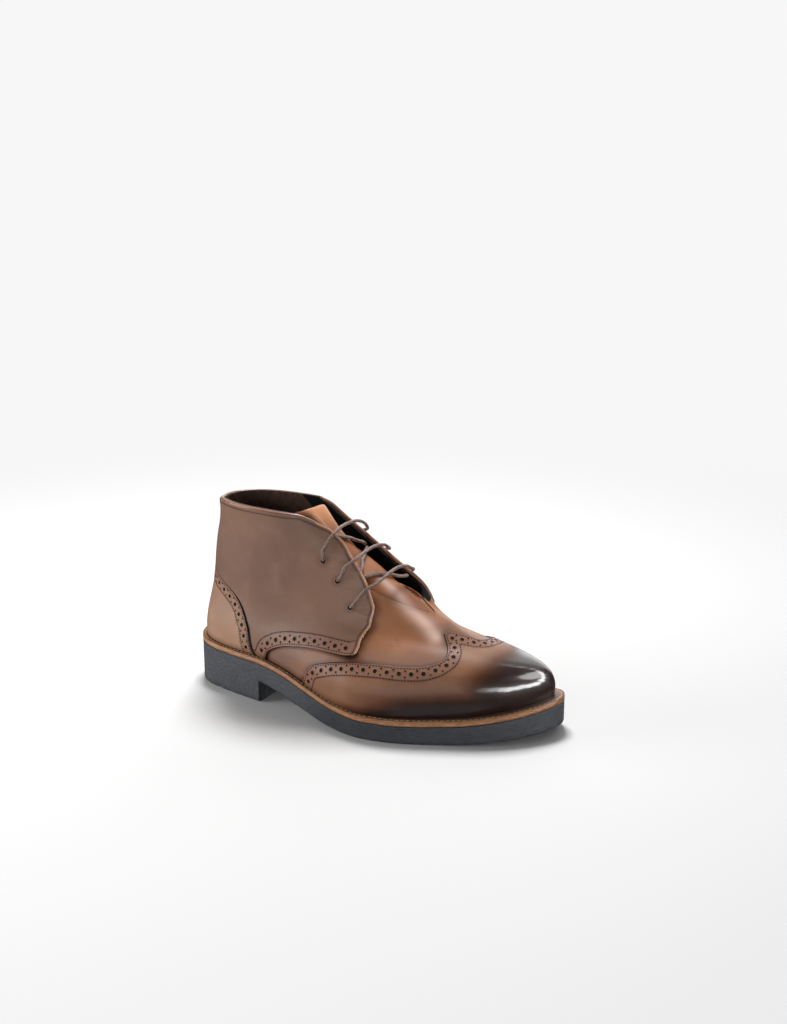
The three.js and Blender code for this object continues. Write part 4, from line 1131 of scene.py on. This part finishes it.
def plate_piece(name, layers, materials, attributes=None, count=240):
    """Closed plate between stacked outlines, the highest first: each layer is (inset, height of x, edge value)."""
    angle, side, half = outline_loop(count)
    around = len(angle)
    points, edges = [], []
    for inset, height, edge in layers:
        x, y = outline_point(angle, side, inset)
        points.append(np.stack([x, y, height(along_at(angle) * SOLE_LENGTH)], -1))
        edges.append(np.full(around, edge))
    faces = []
    for k in range(len(layers) - 1):
        i = np.arange(around)
        n = (i + 1) % around
        base = k * around
        faces.append(np.stack([base + i, base + around + i, base + around + n, base + n], -1))
    walls = np.concatenate(faces).tolist()
    for base, flip in ((0, False), ((len(layers) - 1) * around, True)):
        for i in range(half - 1):
            other = lambda n: n if n in (0, half - 1) else around - n
            quad = list(dict.fromkeys([i, i + 1, other(i + 1), other(i)]))
            quad = [base + n for n in quad]
            walls.append(quad[::-1] if flip else quad)
    piece = make_mesh(name, np.concatenate(points), walls, materials, {"edge": np.concatenate(edges)})
    flat = np.zeros(len(piece.data.polygons), bool)
    flat[-2 * (half - 1):] = True
    piece.data.polygons.foreach_set("use_smooth", ~flat)
    return piece


def sole_level(share):
    return lambda x: sole_bottom(x) + (sole_top(x) - sole_bottom(x)) * share


def welt_level(share):
    return lambda x: sole_top(x) + GAP + WELT_THICKNESS * share


def outsole_piece():
    layers = [(1.2, sole_top, 0.0), (0.35, lambda x: sole_top(x) - 0.2, 0.5), (0, sole_level(0.93), 0.0)]
    layers += [(0.15 * (k % 2), sole_level(0.93 - 0.83 * k / 12), 0.0) for k in range(1, 12)]
    layers += [(0, lambda x: sole_bottom(x) + 1.6, 0.1), (0.4, lambda x: sole_bottom(x) + 0.5, 0.8),
               (1.2, sole_bottom, 0.9), (6, sole_bottom, 0.5)]
    piece = plate_piece("outsole_rubber", layers, [sole_rubber])
    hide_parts("outsole")


def welt_piece():
    layers = [(9, 1.0, 1.0), (5.4, 1.0, 1.0), (4.4, 1.0, 0.9), (2.9, 0.985, 0.75), (2.5, 0.93, 0.85),
              (2.0, 0.93, 0.85), (1.6, 0.985, 0.6), (0.7, 1.0, 0.45), (0.2, 0.95, 0.15), (0.0, 0.86, 0.12),
              (0.05, 0.74, 0.3), (0.3, 0.7, 0.55), (0.05, 0.66, 0.1), (0.0, 0.4, 0.0), (0.05, 0.12, 0.05),
              (0.5, 0.0, 0.6)]
    layers = [(inset, welt_level(share), edge) for inset, share, edge in layers]
    piece = plate_piece("welt_strip", layers, [welt_leather])
    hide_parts("welt")


def outline_frames(inset, height, pitch, margin=0.0):
    """Frames a pitch apart along the sole's outline, moved in by an inset, at a height over the sole's top."""
    angle = np.linspace(0.001, math.pi - 0.001, 1500)
    angles, sides = np.concatenate([angle, angle[::-1]]), np.concatenate([-np.ones(1500), np.ones(1500)])
    x, y = outline_point(angles, sides, inset)
    points = np.stack([x, y, sole_top(x) + height], -1)
    points = np.concatenate([points, points[:1]])
    length = np.concatenate([[0], np.cumsum(np.linalg.norm(np.diff(points, axis=0), axis=1))])
    where = np.linspace(0, length[-1], int(length[-1] / pitch), endpoint=False)
    path = np.stack([np.interp(where, length, points[:, k]) for k in range(3)], -1)
    along = np.roll(path, -1, axis=0) - np.roll(path, 1, axis=0)
    along /= np.linalg.norm(along, axis=1, keepdims=True)
    out = np.broadcast_to([0.0, 0.0, 1.0], along.shape)
    across = np.cross(out, along)
    across /= np.linalg.norm(across, axis=1, keepdims=True)
    return path, along, across, np.cross(along, across)


def welt_details():
    """Cream lockstitches in the welt's groove, and the wheeled ribs on its outer margin."""
    top = GAP + WELT_THICKNESS
    points, faces = bead_template(3.3, 0.9, 0.7)
    piece = scatter("welt_stitches", points, faces, outline_frames(2.25, top - 0.12, 4.1), [thread_cream])
    points, faces = bead_template(1.7, 0.8, 0.5)
    path, along, across, out = outline_frames(0.95, top - 0.02, 1.35)
    piece = scatter("welt_ribs", points, faces, (path, across, -along, out), [rib_leather])


def insole_piece():
    angle, side, half = outline_loop(160)
    turn = np.where(side < 0, angle / math.pi, 2 - angle / math.pi)
    layers = []
    for level, inset, height in ((0.04, 6.0, 3.1), (0.04, 2.5, 3.0), (0.04, 1.5, 2.6), (0.0, 1.3, 0.0)):
        edge = offset_point(turn, np.full_like(turn, level), np.full_like(turn, -WALL - inset))
        edge[:, 2] = welt_top(edge[:, 0]) + SEAT_GAP + height
        layers.append(edge)
    around = len(angle)
    faces = []
    for k in range(len(layers) - 1):
        i = np.arange(around)
        n = (i + 1) % around
        faces.append(np.stack([k * around + i, (k + 1) * around + i, (k + 1) * around + n, k * around + n], -1))
    walls = np.concatenate(faces).tolist()
    for base, flip in ((0, False), ((len(layers) - 1) * around, True)):
        for i in range(half - 1):
            other = lambda n: n if n in (0, half - 1) else around - n
            quad = [base + n for n in dict.fromkeys([i, i + 1, other(i + 1), other(i)])]
            walls.append(quad[::-1] if flip else quad)
    piece = make_mesh("insole_sock", np.concatenate(layers), walls, [lining_leather])
    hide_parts("insole")
    return piece


# Holes, stitches and trim

SURFACE = GAP + PANEL
TRIM_SIDE = 1.0


def punch_row(name, curve, distance, pitch, leather, large_radius=1.75, small_radius=0.85, spread=2.35):
    """Punched holes along a curve: one large hole, then a pair of small ones."""
    turn, level = offset_curve(*resample(curve[0], curve[1], 1.0), distance)
    turn, level = resample(turn, level, pitch)
    frames = basis(turn, level, SURFACE + 0.02)
    large = [part[1:-1:2] for part in frames]
    points, faces, slots = hole_template(large_radius)
    scatter(name + "_large", points, faces, large, [painted_hole_shade, leather], slots)
    middle = [part[2:-1:2] for part in frames]
    pair = [np.concatenate([middle[0] + middle[2] * spread, middle[0] - middle[2] * spread])]
    pair += [np.concatenate([part, part]) for part in middle[1:]]
    points, faces, slots = hole_template(small_radius)
    scatter(name + "_small", points, faces, pair, [painted_hole_shade, leather], slots)


def stitch_row(name, curve, distance, material, pitch=2.3, length=1.6, width=0.8, reach=SURFACE):
    turn, level = offset_curve(*resample(curve[0], curve[1], 1.0), distance)
    turn, level = resample(turn, level, pitch)
    frames = basis(turn, level, reach + 0.03)
    points, faces = bead_template(length, width, 0.5)
    return scatter(name, points, faces, frames, [material])


def decorate():
    decor = [("quarter", quarter_decor(-1), 1, 11.0, 5.7, 4.5, quarter_leather),
             ("quarter_far", quarter_decor(1), -1, 11.0, 5.7, 4.5, quarter_leather),
             ("wing", wing_decor(), -1, 10.0, 5.3, 4.5, cap_leather),
             ("counter", counter_decor(1), 1, 9.0, 5.0, 4.4, counter_leather),
             ("counter_far", counter_decor(-1), -1, 9.0, 5.0, 4.4, counter_leather)]
    for name, curve, sign, width, middle, pitch, leather in decor:
        punch_row(name + "_holes", curve, sign * middle, pitch, leather)
        stitch_row(name + "_stitch_a", curve, sign * 1.7, thread_dark)
        stitch_row(name + "_stitch_b", curve, sign * width, thread_dark)


def collar_curve():
    """Top edge and facings: from the outer facing's lower corner over the collar to the inner one's."""
    level = np.linspace(0.287, 0.99, 200)
    near = (1 - front_edge("lateral", level), level)
    far = (1 + front_edge("medial", level[::-1]), level[::-1])
    top_start, top_end = near[0][-1], far[0][0] - 2
    top = np.linspace(top_start, top_end, 200)[1:-1]
    turn = np.concatenate([near[0], top, far[0] - 2])
    return turn, np.concatenate([near[1], np.full(len(top), 0.99), far[1]])


def trim():
    """Rolled edge along the collar and both facings, with the stitches under it."""
    turn, level = resample(*collar_curve(), 1.2)
    kernel = np.ones(5) / 5
    turn = np.convolve(np.pad(turn, 2, mode="edge"), kernel, "valid")
    level = np.convolve(np.pad(level, 2, mode="edge"), kernel, "valid")
    top = smooth_step(level, 0.96, 0.99)
    path = offset_point(turn, level, SURFACE - 0.6 - 1.1 * top)
    corner = int(np.argmax(level > 0.975))
    bead = tube("edge_piping", path[corner - 4:], 1.4, [piping_leather], 14)
    # The facings' rolled edge uses the lighter piping: a painted highlight.
    bead = tube("facing_piping_painted_highlight", path[:corner], 0.85, [facing_piping_painted_highlight], 12)
    stitch_row("edge_stitch", (turn, level), TRIM_SIDE * 2.2, thread_dark, pitch=1.9, length=1.2, width=0.5)


upper_piece()
quarter_piece(-1)
quarter_piece(1)
counter_piece()
wing_piece()
tongue_piece()
for bar in LACES:
    lace_piece(bar)
for number in range(len(STRANDS)):
    strand_piece(number)
eyelets()
outsole_piece()
welt_piece()
insole_piece()
welt_details()
decorate()
trim()


# Floor, light and camera

BACKDROP = 0.93
FLOOR_NEAR = (0.65, 0.65, 0.65, 1)
FLOOR_FADE = (0.3, 0.95)
ROOM = 0.1
# Bright places of the studio: azimuth and height over the horizon in degrees, radius in degrees, strength.
# GLOW lights everything, REFLECTED shows in glossy surfaces alone.
GLOW = [(102, 25, 32, 1.6), (60, 52, 14, 0.7)]
REFLECTED = [(-47, 6, 5, 3), (-40, 3, 5, 6), (-33, 0, 5, 12), (-26, -3, 5, 17), (-18, -4, 5, 18), (-10, -5, 5, 20),
             (-3, -4, 5, 22), (6, 4, 6, 22), (14, 14, 6, 22), (22, 25, 6, 20), (29, 34, 6, 16), (35, 42, 5, 10),
             (45, 51, 4, 4), (55, 59, 4, 3), (66, 64, 4, 2), (0, 28, 14, 7), (14, 38, 10, 7), (-60, -52, 26, 0.25)]


def add_floor():
    """Pale floor that fades into the backdrop's own brightness away from the shoe."""
    bpy.ops.mesh.primitive_plane_add(size=40)
    floor = bpy.context.object
    floor.name = "floor"
    floor.location.z = -0.0002
    s = Shader("floor_white")
    length = s.node("ShaderNodeVectorMath", operation="LENGTH")
    s.put(length.inputs[0], s.coords)
    far = s.span(length.outputs["Value"], FLOOR_FADE[0], FLOOR_FADE[1])
    s.put(s.surface.inputs["Base Color"], s.mix(far, FLOOR_NEAR, (0, 0, 0, 1)))
    s.put(s.surface.inputs["Emission Color"], (BACKDROP, BACKDROP, BACKDROP, 1))
    s.put(s.surface.inputs["Emission Strength"], far)
    floor.data.materials.append(s.finish(Roughness=1.0, Specular_IOR_Level=0.0))
    floor.visible_glossy = False


def add_light(name, place, target, size, power, colour=(1, 1, 1)):
    data = bpy.data.lights.new(name, "AREA")
    data.shape = "RECTANGLE"
    data.size, data.size_y = size
    data.energy = power
    data.color = colour
    light = bpy.data.objects.new(name, data)
    bpy.context.scene.collection.objects.link(light)
    back = np.array(place, float) - np.array(target, float)
    back /= np.linalg.norm(back)
    right = np.cross([0, 0, 1], back)
    right = right / np.linalg.norm(right) if np.linalg.norm(right) > 1e-6 else np.array([1.0, 0, 0])
    up = np.cross(back, right)
    matrix = Matrix.Identity(4)
    for i in range(3):
        matrix[i][0], matrix[i][1], matrix[i][2], matrix[i][3] = right[i], up[i], back[i], place[i]
    light.matrix_world = matrix


def add_camera():
    azimuth, elevation, distance, pixels_per_mm = math.radians(28.73), math.radians(16.49), 1100.0, 1.30
    back = np.array([math.sin(azimuth) * math.cos(elevation), -math.cos(azimuth) * math.cos(elevation),
                     math.sin(elevation)])
    right = np.array([math.cos(azimuth), math.sin(azimuth), 0])
    up = np.cross(back, right)
    target = np.array([150.0, 0.0, 60.0])
    place = target + back * distance - right * (370.64 - 393.5) / pixels_per_mm + up * (628.39 - 512) / pixels_per_mm
    place = (place + SHIFT) * 0.001
    data = bpy.data.cameras.new("camera")
    data.sensor_width = 36
    data.lens = pixels_per_mm * distance * 36 / 1024
    data.clip_start = 0.05
    camera = bpy.data.objects.new("camera", data)
    bpy.context.scene.collection.objects.link(camera)
    matrix = Matrix.Identity(4)
    for i in range(3):
        matrix[i][0], matrix[i][1], matrix[i][2], matrix[i][3] = right[i], up[i], back[i], place[i]
    camera.matrix_world = matrix
    bpy.context.scene.camera = camera


def add_world():
    """Studio surroundings: an even backdrop for the camera, and a dim room with bright places for all else."""
    world = bpy.data.worlds.new("world")
    world.use_nodes = True
    tree = world.node_tree
    tree.nodes.clear()

    def node(kind, **values):
        made = tree.nodes.new(kind)
        for key, value in values.items():
            setattr(made, key, value)
        return made

    direction = node("ShaderNodeTexCoord").outputs["Generated"]
    path = node("ShaderNodeLightPath")
    total = None
    for azimuth, height, radius, strength in GLOW + REFLECTED:
        a, h = math.radians(azimuth), math.radians(height)
        dot = node("ShaderNodeVectorMath", operation="DOT_PRODUCT")
        tree.links.new(direction, dot.inputs[0])
        dot.inputs[1].default_value = (math.cos(a) * math.cos(h), math.sin(a) * math.cos(h), math.sin(h))
        span = node("ShaderNodeMapRange", interpolation_type="SMOOTHSTEP")
        tree.links.new(dot.outputs["Value"], span.inputs["Value"])
        span.inputs["From Min"].default_value = math.cos(math.radians(radius * 1.15))
        span.inputs["From Max"].default_value = math.cos(math.radians(radius * 0.75))
        span.inputs["To Max"].default_value = strength
        if (azimuth, height, radius, strength) in REFLECTED:
            tree.links.new(path.outputs["Is Glossy Ray"], span.inputs["To Max"])
            times = node("ShaderNodeMath", operation="MULTIPLY")
            tree.links.new(span.outputs["Result"], times.inputs[0])
            times.inputs[1].default_value = strength
            span = times
        if total is None:
            total = span.outputs[0]
            continue
        highest = node("ShaderNodeMath", operation="MAXIMUM")
        tree.links.new(total, highest.inputs[0])
        tree.links.new(span.outputs[0], highest.inputs[1])
        total = highest.outputs[0]
    brightness = node("ShaderNodeMath", operation="ADD")
    tree.links.new(total, brightness.inputs[0])
    brightness.inputs[1].default_value = ROOM
    room = node("ShaderNodeBackground")
    tree.links.new(brightness.outputs[0], room.inputs["Strength"])
    room.inputs["Color"].default_value = (1, 1, 1, 1)
    backdrop = node("ShaderNodeBackground")
    backdrop.inputs["Color"].default_value = (BACKDROP, BACKDROP, BACKDROP, 1)
    mix = node("ShaderNodeMixShader")
    tree.links.new(path.outputs["Is Camera Ray"], mix.inputs[0])
    tree.links.new(room.outputs[0], mix.inputs[1])
    tree.links.new(backdrop.outputs[0], mix.inputs[2])
    tree.links.new(mix.outputs[0], node("ShaderNodeOutputWorld").inputs["Surface"])
    bpy.context.scene.world = world


add_floor()
add_camera()
centre = (0.0, 0.0, 0.06)
add_light("left", (-1.2, -0.7, 0.36), centre, (0.9, 0.6), 14)
add_light("top", (-0.27, 0.45, 1.41), centre, (0.42, 0.42), 27)
add_light("front", (0.3, -1.35, 0.34), centre, (1.2, 0.5), 6)
add_world()
bpy.context.scene.view_settings.view_transform = "Standard"
